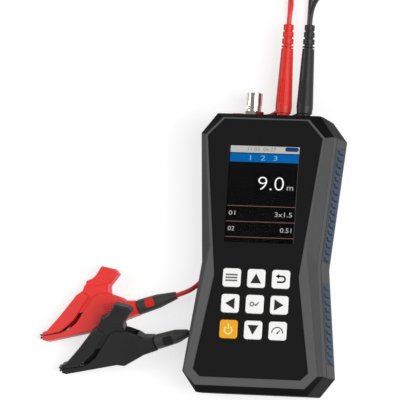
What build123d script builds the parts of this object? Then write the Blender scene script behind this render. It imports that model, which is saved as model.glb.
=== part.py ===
"""Hand-held cable length counter with its two test leads, in build123d.

The meter lies on its back: X is its width, Y its length with the connectors at +Y, Z points
out of its face. The origin is the centre of the flat back. All sizes are millimetres.
"""
import os
from math import cos, pi, radians, sin, tan

from build123d import *

os.makedirs("parts", exist_ok=True)

# ---------------------------------------------------------------- driving dimensions: case
CASE_HEIGHT = 32.0
CHAMFER_Z = 27.5        # the sloping edge band runs from here up to the rim
FRONT_BOTTOM = 21.4     # lower edge of the front shell
REAR_TOP = 20.6         # upper edge of the rear shell; the groove lies between the two
WALL = 2.2
LIP_HEIGHT = 2.8
LIP_INSET = 1.3
LIP_GAP = 0.2

# Right-hand corners of the waisted outline, from the top end to the bottom end.
WIDE = [(31.8, 82.5), (41.2, 70.4), (35.8, -6.0), (43.8, -70.5), (34.6, -82.5)]
RIM = [(26.5, 79.9), (37.0, 69.2), (30.0, 3.5), (41.7, -70.9), (34.0, -78.6)]
PANEL = [(25.7, 78.9), (35.6, 68.7), (26.1, -13.3), (35.6, -69.2), (31.2, -73.5)]
BACK = [(31.2, 81.3), (40.6, 69.9), (34.4, -6.0), (42.2, -70.0), (33.6, -81.3)]

# ---------------------------------------------------------------- driving dimensions: face
PANEL_TOP = 31.6
PANEL_BOTTOM = 30.6
PLATE_BOTTOM = 28.6
FIT_GAP = 0.1
SCREEN_WIDTH, SCREEN_HEIGHT = 42.9, 57.1
SCREEN_Y = 35.05
MODULE_WIDTH, MODULE_HEIGHT = 50.0, 69.2
KEY_SIZE, KEY_RADIUS, KEY_PITCH = 11.0, 1.8, 15.2
KEY_ROWS_Y = -29.9      # centre of the nine keys
KEY_TOP = 32.3
KEY_FLANGE_BOTTOM, KEY_FLANGE_TOP = 27.9, 28.5
KEY_FLANGE = 12.8
KEY_HOLE_GAP = 0.25
KEY_NAMES = [["key_menu", "key_up", "key_back"],
             ["key_left", "key_enter", "key_right"],
             ["key_power", "key_down", "key_gauge"]]

# ---------------------------------------------------------------- driving dimensions: inside
BOARD_BOTTOM, BOARD_TOP = 22.4, 24.0
BOARD_WIDTH, BOARD_LOW_Y, BOARD_HIGH_Y = 52.0, -73.0, 76.5
STANDOFFS = [(sx * 22.5, y) for y in (73.3, -3.2, -66.0) for sx in (-1, 1)]
CASE_SCREWS = [(30.5, 62.0), (-30.5, 62.0), (34.0, -65.0), (-34.0, -65.0)]
BOSS_RADIUS = 3.6
SCREW_RADIUS = 1.5
SCREW_HEAD_RADIUS, SCREW_HEAD_DEPTH = 2.75, 2.6

# ---------------------------------------------------------------- driving dimensions: grips
GRIP_SPANS = {"upper": (-2.0, 65.0, 17), "lower": (-62.5, -15.0, 11)}
GRIP_LOW_Z, GRIP_HIGH_Z = 2.2, 18.4
GRIP_DEPTH, GRIP_PROUD = 1.0, 0.35
RIB_PROUD = 0.45

# ---------------------------------------------------------------- driving dimensions: top end
CONNECTOR_Z = 14.0
WALL_Y = 82.1           # outer face of the top wall at the connectors' height
BNC_X, RED_X, BLACK_X = -14.2, 4.2, 17.3
BNC_RADIUS, BNC_NECK_RADIUS = 4.83, 4.5
BNC_STEP_Y, BNC_MOUTH_Y = 88.7, 96.3
SOCKET_RADIUS = 5.9
PORT_X, PORT_Z = -4.0, 25.6

# ---------------------------------------------------------------- driving dimensions: leads
LEAD = 2.8              # diameter
LEAD_Z = LEAD / 2 + 0.05
PLUG_BASE_Y, PLUG_END_Y, BOOT_END_Y = 85.0, 123.3, 137.6
PLUG_BASE_RADIUS, PLUG_WIDE_RADIUS, PLUG_END_RADIUS = 4.55, 4.9, 3.55
# The rest of each lead is wound flat beyond the top end: two layers of turns side by side.
COIL_RADIUS = 5.3 * LEAD        # middle of the turns
COIL_REACH = 2.0 * LEAD         # from there to the middle of the outermost turn
COIL_TOP_Z = 4.7         # middle of the upper layer
COIL_Y = 178.0
RED_RETURN_X, BLACK_RETURN_X = -0.1, 13.0   # where the leads leave the coils for the clips

# Clips: tip of the jaws, turn of the jaws' lower edge from +X, and roll of the clip about it.
# The black clip leans on the red one, so its lever side is raised.
CLIP_HALF = 5.0         # half thickness of the clip's cheeks
CLIP_FRAMES = {"red": ((-140.3, -54.1, CLIP_HALF), 11.0, 0.0),
               "black": ((-126.9, -72.0, 5.12), 9.6, 27.0)}
CLIP_PIVOT = (38.0, 16.5)
PLUG_LENGTHS = {"red": 24.0, "black": 20.5}
# Sections through a clip's mouldings: share of the half thickness, and how far the outline is
# set in there.
MOULD_SECTIONS = [(-1.0, 0.9), (-0.6, 0.2), (0.6, 0.2), (1.0, 0.9)]


def full(half):
    """Ten corners of a waisted outline from the five on its right side."""
    return half + [(-x, y) for x, y in reversed(half)]


def outline_x(half, y):
    """Half width of an outline's side at a place along the case."""
    for (x_high, y_high), (x_low, y_low) in zip(half, half[1:]):
        if y_low <= y <= y_high:
            return x_low + (x_high - x_low) * (y - y_low) / (y_high - y_low)
    raise ValueError(f"{y} is past the ends of the outline")


def wall_x(y, z):
    """Half width of the rear shell's drafted side wall."""
    share = z / REAR_TOP
    return outline_x(BACK, y) + share * (outline_x(WIDE, y) - outline_x(BACK, y))


def across(x, y):
    """Work plane at a connector, facing +Y."""
    return Plane(origin=(x, y, CONNECTOR_Z), x_dir=(1, 0, 0), z_dir=(0, 1, 0))


def save(piece, label):
    """Label a finished piece and write its STEP file."""
    piece.label = label
    export_step(piece, f"parts/{label}.step")


def turned(x, profile):
    """Solid of revolution about a connector's axis; profile points are (radius, y)."""
    with BuildPart() as body:
        with BuildSketch(Plane.XY.offset(CONNECTOR_Z)):
            Polygon(*[(x + radius, y) for radius, y in profile], align=None)
        revolve(axis=Axis((x, 0, CONNECTOR_Z), (0, 1, 0)))
    return body.part


def key_centres():
    """Name and centre of each key, row by row."""
    for row, names in enumerate(KEY_NAMES):
        for column, name in enumerate(names):
            yield name, (column - 1) * KEY_PITCH, KEY_ROWS_Y + (1 - row) * KEY_PITCH


# ======================================================================= case shells
def front_shell():
    """Upper shell: sloping edge band, recessed face plate, inner lip and screw bosses."""
    with BuildPart() as shell:
        with BuildSketch(Plane.XY.offset(CHAMFER_Z)):
            Polygon(*full(WIDE), align=None)
        with BuildSketch(Plane.XY.offset(CASE_HEIGHT)):
            Polygon(*full(RIM), align=None)
        loft(ruled=True)
        with BuildSketch(Plane.XY.offset(FRONT_BOTTOM)):
            Polygon(*full(WIDE), align=None)
        extrude(amount=CHAMFER_Z - FRONT_BOTTOM)
        # Soft corners all round the outside, but not on the parting face.
        outer = shell.edges().filter_by_position(Axis.Z, FRONT_BOTTOM + 0.1, CASE_HEIGHT + 1)
        fillet(outer, radius=0.5)
        # Cavity.
        with BuildSketch(Plane.XY.offset(FRONT_BOTTOM)):
            Polygon(*full(WIDE), align=None)
            offset(amount=-(WALL + 0.2), kind=Kind.INTERSECTION)
        extrude(amount=PLATE_BOTTOM - FRONT_BOTTOM, mode=Mode.SUBTRACT)
        # Lip that centres the rear shell, left out behind the connectors.
        with BuildSketch(Plane.XY.offset(FRONT_BOTTOM - LIP_HEIGHT)):
            Polygon(*full(WIDE), align=None)
            offset(amount=-LIP_INSET, kind=Kind.INTERSECTION)
            with BuildSketch(mode=Mode.PRIVATE) as inner:
                Polygon(*full(WIDE), align=None)
                offset(amount=-(WALL + 0.2), kind=Kind.INTERSECTION)
            add(inner.sketch, mode=Mode.SUBTRACT)
            with Locations(((BNC_X + BLACK_X) / 2, WIDE[0][1] - 1)):
                Rectangle(BLACK_X - BNC_X + 2 * SOCKET_RADIUS + 3, 6, mode=Mode.SUBTRACT)
        extrude(amount=LIP_HEIGHT)
        # Recess for the face panel and the openings under it.
        with BuildSketch(Plane.XY.offset(PANEL_BOTTOM)):
            Polygon(*full(PANEL), align=None)
        extrude(amount=CASE_HEIGHT - PANEL_BOTTOM + 1, mode=Mode.SUBTRACT)
        with BuildSketch(Plane.XY.offset(PLATE_BOTTOM)):
            with Locations((0, SCREEN_Y)):
                Rectangle(SCREEN_WIDTH + 2.1, SCREEN_HEIGHT + 2.3)
            for _, x, y in key_centres():
                with Locations((x, y)):
                    RectangleRounded(KEY_SIZE + 2 * KEY_HOLE_GAP, KEY_SIZE + 2 * KEY_HOLE_GAP,
                                     KEY_RADIUS + KEY_HOLE_GAP)
        extrude(amount=PANEL_BOTTOM - PLATE_BOTTOM + 1, mode=Mode.SUBTRACT)
        # Screw bosses for the case, and standoffs for the board.
        with BuildSketch(Plane.XY.offset(REAR_TOP + 0.2)):
            with Locations(*CASE_SCREWS):
                Circle(BOSS_RADIUS)
        extrude(amount=PLATE_BOTTOM - REAR_TOP)
        with BuildSketch(Plane.XY.offset(BOARD_TOP)):
            with Locations(*STANDOFFS):
                Circle(2.6)
        extrude(amount=PLATE_BOTTOM - BOARD_TOP + 0.2)
        with BuildSketch(Plane.XY.offset(REAR_TOP)):
            with Locations(*CASE_SCREWS):
                Circle(SCREW_RADIUS + 0.06)
        extrude(amount=27.4 - REAR_TOP, mode=Mode.SUBTRACT)
        with BuildSketch(Plane.XY.offset(BOARD_TOP)):
            with Locations(*STANDOFFS):
                Circle(1.06)
        extrude(amount=4.2, mode=Mode.SUBTRACT)
        # Charging port opening in the top end.
        with BuildSketch(across(PORT_X, WIDE[0][1] - 4)):
            with Locations((0, CONNECTOR_Z - PORT_Z)):
                RectangleRounded(9.6, 3.6, 1.7)
        extrude(amount=6, mode=Mode.SUBTRACT)
    return shell.part


def grip_block(side, span, low_z, high_z, outward, inward):
    """Slab along a drafted side wall, for a grip and for the pocket that holds it."""
    low_y, high_y = span
    with BuildPart() as slab:
        for z in (low_z, high_z):
            corners = [(side * (wall_x(low_y, z) - inward), low_y),
                       (side * (wall_x(low_y, z) + outward), low_y),
                       (side * (wall_x(high_y, z) + outward), high_y),
                       (side * (wall_x(high_y, z) - inward), high_y)]
            with BuildSketch(Plane.XY.offset(z)):
                Polygon(*corners, align=None)
        loft(ruled=True)
    return slab.part


def rear_shell():
    """Lower shell: drafted tub with screw bosses, connector holes and grip pockets."""
    with BuildPart() as shell:
        with BuildSketch():
            Polygon(*full(BACK), align=None)
        with BuildSketch(Plane.XY.offset(REAR_TOP)):
            Polygon(*full(WIDE), align=None)
        loft(ruled=True)
        outer = shell.edges().filter_by_position(Axis.Z, -1, REAR_TOP - 0.1)
        fillet(outer, radius=0.9)
        with BuildSketch(Plane.XY.offset(WALL)):
            Polygon(*full(BACK), align=None)
            offset(amount=-WALL, kind=Kind.INTERSECTION)
        extrude(amount=CASE_HEIGHT, mode=Mode.SUBTRACT)
        # Rebate that takes the front shell's lip.
        with BuildSketch(Plane.XY.offset(FRONT_BOTTOM - LIP_HEIGHT - LIP_GAP)):
            Polygon(*full(WIDE), align=None)
            offset(amount=-(LIP_INSET - LIP_GAP), kind=Kind.INTERSECTION)
        extrude(amount=CASE_HEIGHT, mode=Mode.SUBTRACT)
        with BuildSketch(Plane.XY.offset(WALL)):
            with Locations(*CASE_SCREWS):
                Circle(BOSS_RADIUS)
        extrude(amount=REAR_TOP - WALL)
        # Ribs that hold the battery.
        with BuildSketch(Plane.XY.offset(WALL)):
            with Locations((0, 4.0), (0, -50.5)):
                Rectangle(38, 1.6)
        extrude(amount=7)
        # Screw holes with counterbores in the back.
        with BuildSketch():
            with Locations(*CASE_SCREWS):
                Circle(SCREW_RADIUS + 0.2)
        extrude(amount=REAR_TOP + 1, mode=Mode.SUBTRACT)
        with BuildSketch():
            with Locations(*CASE_SCREWS):
                Circle(SCREW_HEAD_RADIUS + 0.25)
        extrude(amount=SCREW_HEAD_DEPTH, mode=Mode.SUBTRACT)
        # Connector holes.
        for x, radius in ((BNC_X, BNC_NECK_RADIUS + 0.1), (RED_X, SOCKET_RADIUS + 0.1),
                          (BLACK_X, SOCKET_RADIUS + 0.1)):
            with BuildSketch(across(x, WALL_Y - 6)):
                Circle(radius)
            extrude(amount=8, mode=Mode.SUBTRACT)
        for side in (-1, 1):
            for low_y, high_y, _ in GRIP_SPANS.values():
                span = (low_y - FIT_GAP, high_y + FIT_GAP)
                add(grip_block(side, span, GRIP_LOW_Z - FIT_GAP, GRIP_HIGH_Z + FIT_GAP,
                               2.0, GRIP_DEPTH + FIT_GAP), mode=Mode.SUBTRACT)
    return shell.part


def side_grip(side, low_y, high_y, ribs):
    """Soft pad in a side pocket, with a row of short upright ribs."""
    pitch = (high_y - low_y) / ribs
    rib_half = 0.28 * pitch
    with BuildPart() as pad:
        add(grip_block(side, (low_y, high_y), GRIP_LOW_Z, GRIP_HIGH_Z, GRIP_PROUD, GRIP_DEPTH))
        for rib in range(ribs):
            y = low_y + (rib + 0.5) * pitch
            add(grip_block(side, (y - rib_half, y + rib_half), GRIP_LOW_Z + 2.4,
                           GRIP_HIGH_Z - 2.4, GRIP_PROUD + RIB_PROUD, 0))
    return pad.part


# ======================================================================= face
def face_panel():
    """Thin face plate in the front shell's recess, cut out for the screen and the keys."""
    with BuildPart() as panel:
        with BuildSketch(Plane.XY.offset(PANEL_BOTTOM)):
            Polygon(*full(PANEL), align=None)
            offset(amount=-FIT_GAP, kind=Kind.INTERSECTION)
            with Locations((0, SCREEN_Y)):
                Rectangle(SCREEN_WIDTH + 0.5, SCREEN_HEIGHT + 0.5, mode=Mode.SUBTRACT)
            for _, x, y in key_centres():
                with Locations((x, y)):
                    RectangleRounded(KEY_SIZE + 0.7, KEY_SIZE + 0.7, KEY_RADIUS + 0.3,
                                     mode=Mode.SUBTRACT)
        extrude(amount=PANEL_TOP - PANEL_BOTTOM)
    return panel.part


def display_window():
    """Clear pane, flush with the face plate."""
    with BuildPart() as pane:
        with BuildSketch(Plane.XY.offset(PANEL_BOTTOM)):
            with Locations((0, SCREEN_Y)):
                Rectangle(SCREEN_WIDTH + 0.3, SCREEN_HEIGHT + 0.3)
        extrude(amount=PANEL_TOP - PANEL_BOTTOM)
    return pane.part


def display_module():
    """Display with its backlight tray, standing on the board; its glass fills the opening."""
    with BuildPart() as module:
        with BuildSketch(Plane.XY.offset(BOARD_TOP)):
            with Locations((0, SCREEN_Y)):
                Rectangle(MODULE_WIDTH, MODULE_HEIGHT)
        extrude(amount=PLATE_BOTTOM - FIT_GAP - BOARD_TOP)
        with BuildSketch(Plane.XY.offset(PLATE_BOTTOM - FIT_GAP)):
            with Locations((0, SCREEN_Y)):
                Rectangle(SCREEN_WIDTH + 1.5, SCREEN_HEIGHT + 1.7)
        extrude(amount=PANEL_BOTTOM - PLATE_BOTTOM)
    return module.part


def key_cap(x, y):
    """One push key with the flange that keeps it under the shell's plate."""
    with BuildPart() as key:
        with BuildSketch(Plane.XY.offset(KEY_FLANGE_BOTTOM)):
            with Locations((x, y)):
                RectangleRounded(KEY_FLANGE, KEY_FLANGE, KEY_RADIUS + 0.9)
        extrude(amount=KEY_FLANGE_TOP - KEY_FLANGE_BOTTOM)
        with BuildSketch(Plane.XY.offset(KEY_FLANGE_TOP)):
            with Locations((x, y)):
                RectangleRounded(KEY_SIZE, KEY_SIZE, KEY_RADIUS)
        extrude(amount=KEY_TOP - KEY_FLANGE_TOP)
        fillet(key.faces().sort_by(Axis.Z)[-1].edges(), radius=0.4)
    return key.part


def key_mat():
    """Rubber mat on the board with a dome under each key."""
    with BuildPart() as mat:
        with BuildSketch(Plane.XY.offset(BOARD_TOP)):
            with Locations((0, KEY_ROWS_Y)):
                RectangleRounded(46, 47, 3)
        extrude(amount=1.2)
        for _, x, y in key_centres():
            with Locations((x, y, BOARD_TOP + 1.2)):
                Cone(bottom_radius=4.2, top_radius=2.8, height=1.8,
                     align=(Align.CENTER, Align.CENTER, Align.MIN))
    return mat.part


# ======================================================================= inside the case
def main_board():
    """Circuit board with its largest chips on the underside."""
    board_y = (BOARD_LOW_Y + BOARD_HIGH_Y) / 2
    with BuildPart() as board:
        with BuildSketch(Plane.XY.offset(BOARD_BOTTOM)):
            with Locations((0, board_y)):
                RectangleRounded(BOARD_WIDTH, BOARD_HIGH_Y - BOARD_LOW_Y, 2)
            with Locations(*STANDOFFS):
                Circle(1.3, mode=Mode.SUBTRACT)
        extrude(amount=BOARD_TOP - BOARD_BOTTOM)
        for x, y, width, length in ((-8, 28, 12, 12), (10, 24, 8, 6), (6, 44, 14, 9), (-14, 48, 7, 7)):
            with Locations((x, y, BOARD_BOTTOM)):
                Box(width, length, 1.4, align=(Align.CENTER, Align.CENTER, Align.MAX))
    return board.part


def board_screws():
    """Small screws that hold the board to the front shell's standoffs."""
    with BuildPart() as screws:
        for x, y in STANDOFFS:
            with Locations((x, y, BOARD_BOTTOM)):
                Cylinder(1.9, 1.3, align=(Align.CENTER, Align.CENTER, Align.MAX))
                Cylinder(1.0, 5.0, align=(Align.CENTER, Align.CENTER, Align.MIN))
    return screws.part


def case_screws():
    """Four screws from the back into the front shell's bosses, with cross recesses."""
    with BuildPart() as screws:
        for x, y in CASE_SCREWS:
            with Locations((x, y, 0.5)):
                Cylinder(SCREW_HEAD_RADIUS, SCREW_HEAD_DEPTH - 0.5,
                         align=(Align.CENTER, Align.CENTER, Align.MIN))
                Box(3.2, 0.8, 1.2, align=(Align.CENTER, Align.CENTER, Align.MIN),
                    mode=Mode.SUBTRACT)
                Box(0.8, 3.2, 1.2, align=(Align.CENTER, Align.CENTER, Align.MIN),
                    mode=Mode.SUBTRACT)
            with Locations((x, y, SCREW_HEAD_DEPTH)):
                Cylinder(SCREW_RADIUS, 24.0, align=(Align.CENTER, Align.CENTER, Align.MIN))
    return screws.part


def battery():
    """Flat rechargeable cell between the rear shell's ribs."""
    with BuildPart() as cell:
        with Locations((0, -23.2, WALL + 0.1)):
            Box(34, 52, 9.5, align=(Align.CENTER, Align.CENTER, Align.MIN))
        fillet(cell.edges().filter_by(Axis.Y), radius=3)
    return cell.part


def charge_port():
    """Charging connector on the board, open at the top end of the case."""
    with BuildPart() as port:
        with BuildSketch(across(PORT_X, 73.8)):
            with Locations((0, CONNECTOR_Z - PORT_Z)):
                RectangleRounded(8.9, 3.1, 1.5)
        extrude(amount=7.5)
        with BuildSketch(across(PORT_X, 75.5)):
            with Locations((0, CONNECTOR_Z - PORT_Z)):
                RectangleRounded(8.3, 2.5, 1.2)
                Rectangle(6.6, 0.8, mode=Mode.SUBTRACT)
        extrude(amount=6.5, mode=Mode.SUBTRACT)
    return port.part


# ======================================================================= top end connectors
def coax_socket():
    """Coaxial socket: body with two bayonet lugs, insulator, centre contact, outside nut."""
    with BuildPart() as body:
        add(turned(BNC_X, [(3.9, 72.0), (BNC_NECK_RADIUS, 72.0), (BNC_NECK_RADIUS, 77.4),
                           (6.4, 77.4), (6.4, 78.9), (BNC_NECK_RADIUS, 78.9),
                           (BNC_NECK_RADIUS, BNC_STEP_Y), (BNC_RADIUS, BNC_STEP_Y),
                           (BNC_RADIUS, BNC_MOUTH_Y - 0.3), (BNC_RADIUS - 0.3, BNC_MOUTH_Y),
                           (4.35, BNC_MOUTH_Y), (4.05, BNC_MOUTH_Y - 0.3), (4.05, 86.8),
                           (3.9, 86.8)]))
        # The lugs stand out across the barrel, turned towards the upper left.
        for turn in (115, 295):
            lug_plane = Plane(origin=(BNC_X, BNC_MOUTH_Y - 8.9, CONNECTOR_Z), x_dir=(0, 1, 0),
                              z_dir=(cos(radians(turn)), 0, sin(radians(turn))))
            with BuildSketch(lug_plane.offset(BNC_RADIUS - 0.4)):
                Circle(1.0)
            extrude(amount=1.0)
    insulator = turned(BNC_X, [(1.15, 73.0), (3.85, 73.0), (3.85, 86.8), (2.4, 86.8),
                               (2.4, 95.2), (1.15, 95.2)])
    contact = turned(BNC_X, [(0, 66.0), (0.8, 66.0), (0.8, 72.5), (1.1, 72.5), (1.1, 94.6),
                             (0.7, 94.6), (0.7, 88.0), (0, 88.0)])
    with BuildPart() as nut:
        with BuildSketch(across(BNC_X, WALL_Y + 0.5)):
            RegularPolygon(radius=6.3, side_count=6)
            Circle(BNC_NECK_RADIUS + 0.05, mode=Mode.SUBTRACT)
        extrude(amount=2.6)
    return body.part, insulator, contact, nut.part


def lead_socket(x):
    """Shrouded 4 mm socket: moulded ring behind the wall and the metal sleeve in its middle."""
    ring = turned(x, [(2.95, 60.0), (SOCKET_RADIUS, 60.0), (SOCKET_RADIUS, 76.6), (6.4, 76.6),
                      (6.4, 78.9), (SOCKET_RADIUS, 78.9), (SOCKET_RADIUS, WALL_Y - 0.1),
                      (4.0, WALL_Y - 0.1), (4.0, 65.0), (2.95, 65.0)])
    sleeve = turned(x, [(0, 52.0), (1.4, 52.0), (1.4, 56.0), (2.9, 56.0), (2.9, 80.0),
                        (2.05, 80.0), (2.05, 59.0), (0, 59.0)])
    return ring, sleeve


def lead_plug(x):
    """Sheathed plug: handle with its shroud, the pin inside it and the ribbed boot."""
    handle = turned(x, [(0, 92.0), (0, PLUG_END_Y), (PLUG_END_RADIUS, PLUG_END_Y),
                        (PLUG_WIDE_RADIUS, 89.0), (PLUG_BASE_RADIUS, PLUG_BASE_Y),
                        (3.8, PLUG_BASE_Y - 0.4), (3.8, 66.0), (3.2, 66.0),
                        (3.2, 86.0), (2.05, 86.0), (2.05, 92.0)])
    pin = turned(x, [(0, 63.0), (1.2, 63.0), (1.98, 64.5), (1.98, 91.9), (0, 91.9)])
    groove, rings = 2.5, ((123.9, 125.1, 3.6), (125.9, 129.3, 3.4), (130.1, 133.4, 3.2),
                          (134.2, BOOT_END_Y, 3.0))
    profile = [(0, PLUG_END_Y), (groove, PLUG_END_Y)]
    for low, high, radius in rings:
        profile += [(groove, low), (radius, low + 0.2), (radius, high - 0.3), (groove, high)]
    profile += [(0, BOOT_END_Y)]
    return handle, pin, turned(x, profile)


# ======================================================================= crocodile clips
# Outlines in the clip's own plane: u runs back from the jaws' tips, v up to the lever.
JAW_LOW = [(0.4, -0.4), (3.0, -1.6), (36.0, -0.2), (40.3, -1.4), (53.9, 3.9), (62.8, 5.6),
           (61.6, 14.2), (55.4, 15.2), (53.1, 17.4), (49.3, 19.6), (45.8, 21.3), (40.5, 22.3),
           (35.4, 20.1), (23.3, 6.9), (18.0, 3.6), (12.0, 2.1), (0.8, 1.9)]
JAW_HIGH = [(0.0, 2.2), (1.2, 4.4), (4.0, 4.9), (12.8, 12.0), (23.0, 21.2), (25.5, 23.4),
            (29.4, 24.7), (33.0, 22.0), (33.6, 20.7), (22.8, 8.9), (18.0, 5.6), (12.0, 2.6)]
NECK = [(24.5, 12.0), (24.5, 22.5), (29.4, 24.7), (31.1, 27.8), (47.0, 27.2), (45.6, 24.8),
        (45.6, 21.5), (43.5, 14.0), (38.0, 11.4), (31.0, 12.0)]
LEVER = [(31.1, 27.8), (32.2, 30.6), (36.0, 31.5), (38.4, 33.0), (42.9, 38.0), (50.9, 34.9),
         (52.9, 31.5), (47.4, 26.4), (40.0, 25.4), (31.5, 26.6)]
POCKET = [(20.0, 8.0), (24.0, 5.9), (50.0, 7.6), (52.5, 12.0), (52.5, 32.0), (18.0, 32.0)]
CHANNEL_LOW = [(-2.0, 0.5), (20.0, 0.7), (50.0, 4.6), (50.0, 8.2), (-2.0, 8.2)]
CHANNEL_HIGH = [(-2.0, 3.5), (5.0, 3.7), (26.0, 18.0), (34.0, 18.0), (22.0, 3.0), (-2.0, 0.0)]
# Half thickness along the clip: slim jaws, full cheeks, a collar behind.
PLAN = [(-3.0, 2.7), (2.0, 3.0), (22.0, 4.5), (34.0, CLIP_HALF), (52.0, CLIP_HALF),
        (57.0, 4.8), (66.0, 4.4)]
POCKET_HALF, NECK_HALF, LEVER_HALF = 3.7, 3.5, 4.1
CHANNEL_HALF, JAW_HALF = 2.5, 2.3
PIN_RADIUS = 1.2
AXIS_START, AXIS_SLOPE = (62.45, 10.03), 8.2   # rear plug: start and slope of its axis


def clip_plane(name):
    """Work plane of a clip: x along the jaws' lower edge, y towards the lever."""
    tip, turn, roll = CLIP_FRAMES[name]
    turn, roll = radians(turn), radians(roll)
    return Plane(origin=tip, x_dir=(cos(turn), sin(turn), 0),
                 z_dir=(sin(turn) * sin(roll), -cos(turn) * sin(roll), cos(roll)))


def plan_slab(plane, grow):
    """Slab whose thickness follows the clip from jaws to collar, across its side outline."""
    edge_on = Plane(origin=plane.origin, x_dir=plane.x_dir, z_dir=-plane.y_dir)
    corners = [(u, half + grow) for u, half in PLAN]
    corners += [(u, -half - grow) for u, half in reversed(PLAN)]
    with BuildPart() as slab:
        with BuildSketch(edge_on):
            Polygon(*corners, align=None)
        extrude(amount=60, both=True)
    return slab.part


def inset(outline, distance):
    """Closed outline with each side moved inwards by a distance."""
    points = [Vector(*point) for point in outline]
    turning = sum(a.X * b.Y - b.X * a.Y for a, b in zip(points, points[1:] + points[:1]))
    inward = distance if turning > 0 else -distance
    moved = []
    for before, corner, after in zip(points[-1:] + points[:-1], points, points[1:] + points[:1]):
        side_in, side_out = (corner - before).normalized(), (after - corner).normalized()
        half_turn = side_in.get_signed_angle(side_out, Vector(0, 0, 1)) / 2
        normal = Vector(-side_in.Y, side_in.X)
        moved.append(corner + (normal - side_in * tan(radians(half_turn))) * inward)
    return [(point.X, point.Y) for point in moved]


def moulding(plane, profile, half):
    """Add a moulded slab with its outer edges bevelled, the same on both sides of the plane."""
    with BuildPart(mode=Mode.PRIVATE) as slab:
        for share, distance in MOULD_SECTIONS:
            with BuildSketch(plane.offset(share * half)):
                Polygon(*inset(profile, distance), align=None)
        loft(ruled=True)
    add(slab.part)


def clip_body(name):
    """Lower jaw's insulator: jaw, two cheeks round the hinge and the collar for the plug."""
    plane = clip_plane(name)
    with BuildPart() as body:
        moulding(plane, JAW_LOW, CLIP_HALF)
        add(plan_slab(plane, 0), mode=Mode.INTERSECT)
        with BuildSketch(plane):
            Polygon(*POCKET, align=None)
        extrude(amount=POCKET_HALF, both=True, mode=Mode.SUBTRACT)
        with BuildSketch(plane):
            Polygon(*CHANNEL_LOW, align=None)
        extrude(amount=CHANNEL_HALF, both=True, mode=Mode.SUBTRACT)
        with BuildSketch(plane):
            with Locations(CLIP_PIVOT):
                Circle(PIN_RADIUS + 0.05)
        extrude(amount=CLIP_HALF - 0.8, both=True, mode=Mode.SUBTRACT)
        # Socket in the collar for the rear plug's nose.
        with BuildSketch(plug_plane(name, 0)):
            Circle(2.6)
        extrude(amount=-9, mode=Mode.SUBTRACT)
    return body.part


def clip_lever(name):
    """Upper jaw's insulator: jaw, narrow neck between the cheeks and the thumb lever."""
    plane = clip_plane(name)
    with BuildPart() as lever:
        moulding(plane, JAW_HIGH, CLIP_HALF)
        add(plan_slab(plane, -0.3), mode=Mode.INTERSECT)
        moulding(plane, LEVER, LEVER_HALF)
        with BuildSketch(plane):
            Polygon(*NECK, align=None)
        extrude(amount=NECK_HALF, both=True)
        with BuildSketch(plane):
            Polygon(*CHANNEL_HIGH, align=None)
        extrude(amount=CHANNEL_HALF, both=True, mode=Mode.SUBTRACT)
        with BuildSketch(plane):
            with Locations(CLIP_PIVOT):
                Circle(2.9)
        extrude(amount=2.8, both=True, mode=Mode.SUBTRACT)
        with BuildSketch(plane):
            with Locations(CLIP_PIVOT):
                Circle(PIN_RADIUS + 0.05)
        extrude(amount=CLIP_HALF, both=True, mode=Mode.SUBTRACT)
    return lever.part


def jaw_teeth(first, pitch, count, base, tip):
    """Saw-tooth points along a jaw's edge."""
    points = []
    for tooth in range(count):
        points += [(first + tooth * pitch, base), (first + (tooth + 0.5) * pitch, tip)]
    return points


def clip_jaws(name):
    """Pressed metal jaws inside the insulators, toothed where they meet."""
    plane = clip_plane(name)
    low = [(-0.8, 0.7)] + jaw_teeth(-0.8, 1.6, 8, 1.5, 2.0)
    low += [(12.0, 1.5), (24.0, 2.0), (49.0, 5.6), (49.0, 4.8), (20.0, 0.8)]
    high = [(-0.8, 3.3), (4.9, 3.5), (25.0, 16.9), (30.0, 16.9), (22.0, 9.9), (12.0, 3.1)]
    high += [(11.9, 2.7)] + [(u, v) for u, v in reversed(jaw_teeth(-0.8, 1.6, 8, 2.7, 2.15))]
    pieces = []
    for profile in (low, high):
        with BuildPart() as jaw:
            with BuildSketch(plane):
                Polygon(*profile, align=None)
            extrude(amount=JAW_HALF, both=True)
        pieces.append(jaw.part)
    return pieces


def clip_hinge(name):
    """Hinge pin through the cheeks and the closing spring wound round it."""
    plane = clip_plane(name)
    with BuildPart() as pin:
        with BuildSketch(plane):
            with Locations(CLIP_PIVOT):
                Circle(PIN_RADIUS)
        extrude(amount=CLIP_HALF - 0.9, both=True)
    turns, pitch, wire = 4, 1.05, 0.7
    foot = plane.from_local_coords((*CLIP_PIVOT, -turns * pitch / 2))
    with BuildPart() as spring:
        with BuildLine():
            path = Helix(pitch=pitch, height=turns * pitch, radius=2.1, center=foot,
                         direction=plane.z_dir)
        with BuildSketch(Plane(origin=path @ 0, z_dir=path % 0)):
            Circle(wire / 2)
        sweep(path=path, is_frenet=True)
    return pin.part, spring.part


def plug_plane(name, along):
    """Plane across the rear plug's axis, at a distance from its front face."""
    plane = clip_plane(name)
    slope = radians(AXIS_SLOPE)
    start = Vector(*AXIS_START) + Vector(cos(slope), sin(slope)) * along
    return Plane(origin=plane.from_local_coords(start),
                 x_dir=plane.y_dir * cos(slope) - plane.x_dir * sin(slope),
                 z_dir=plane.x_dir * cos(slope) + plane.y_dir * sin(slope))


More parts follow.
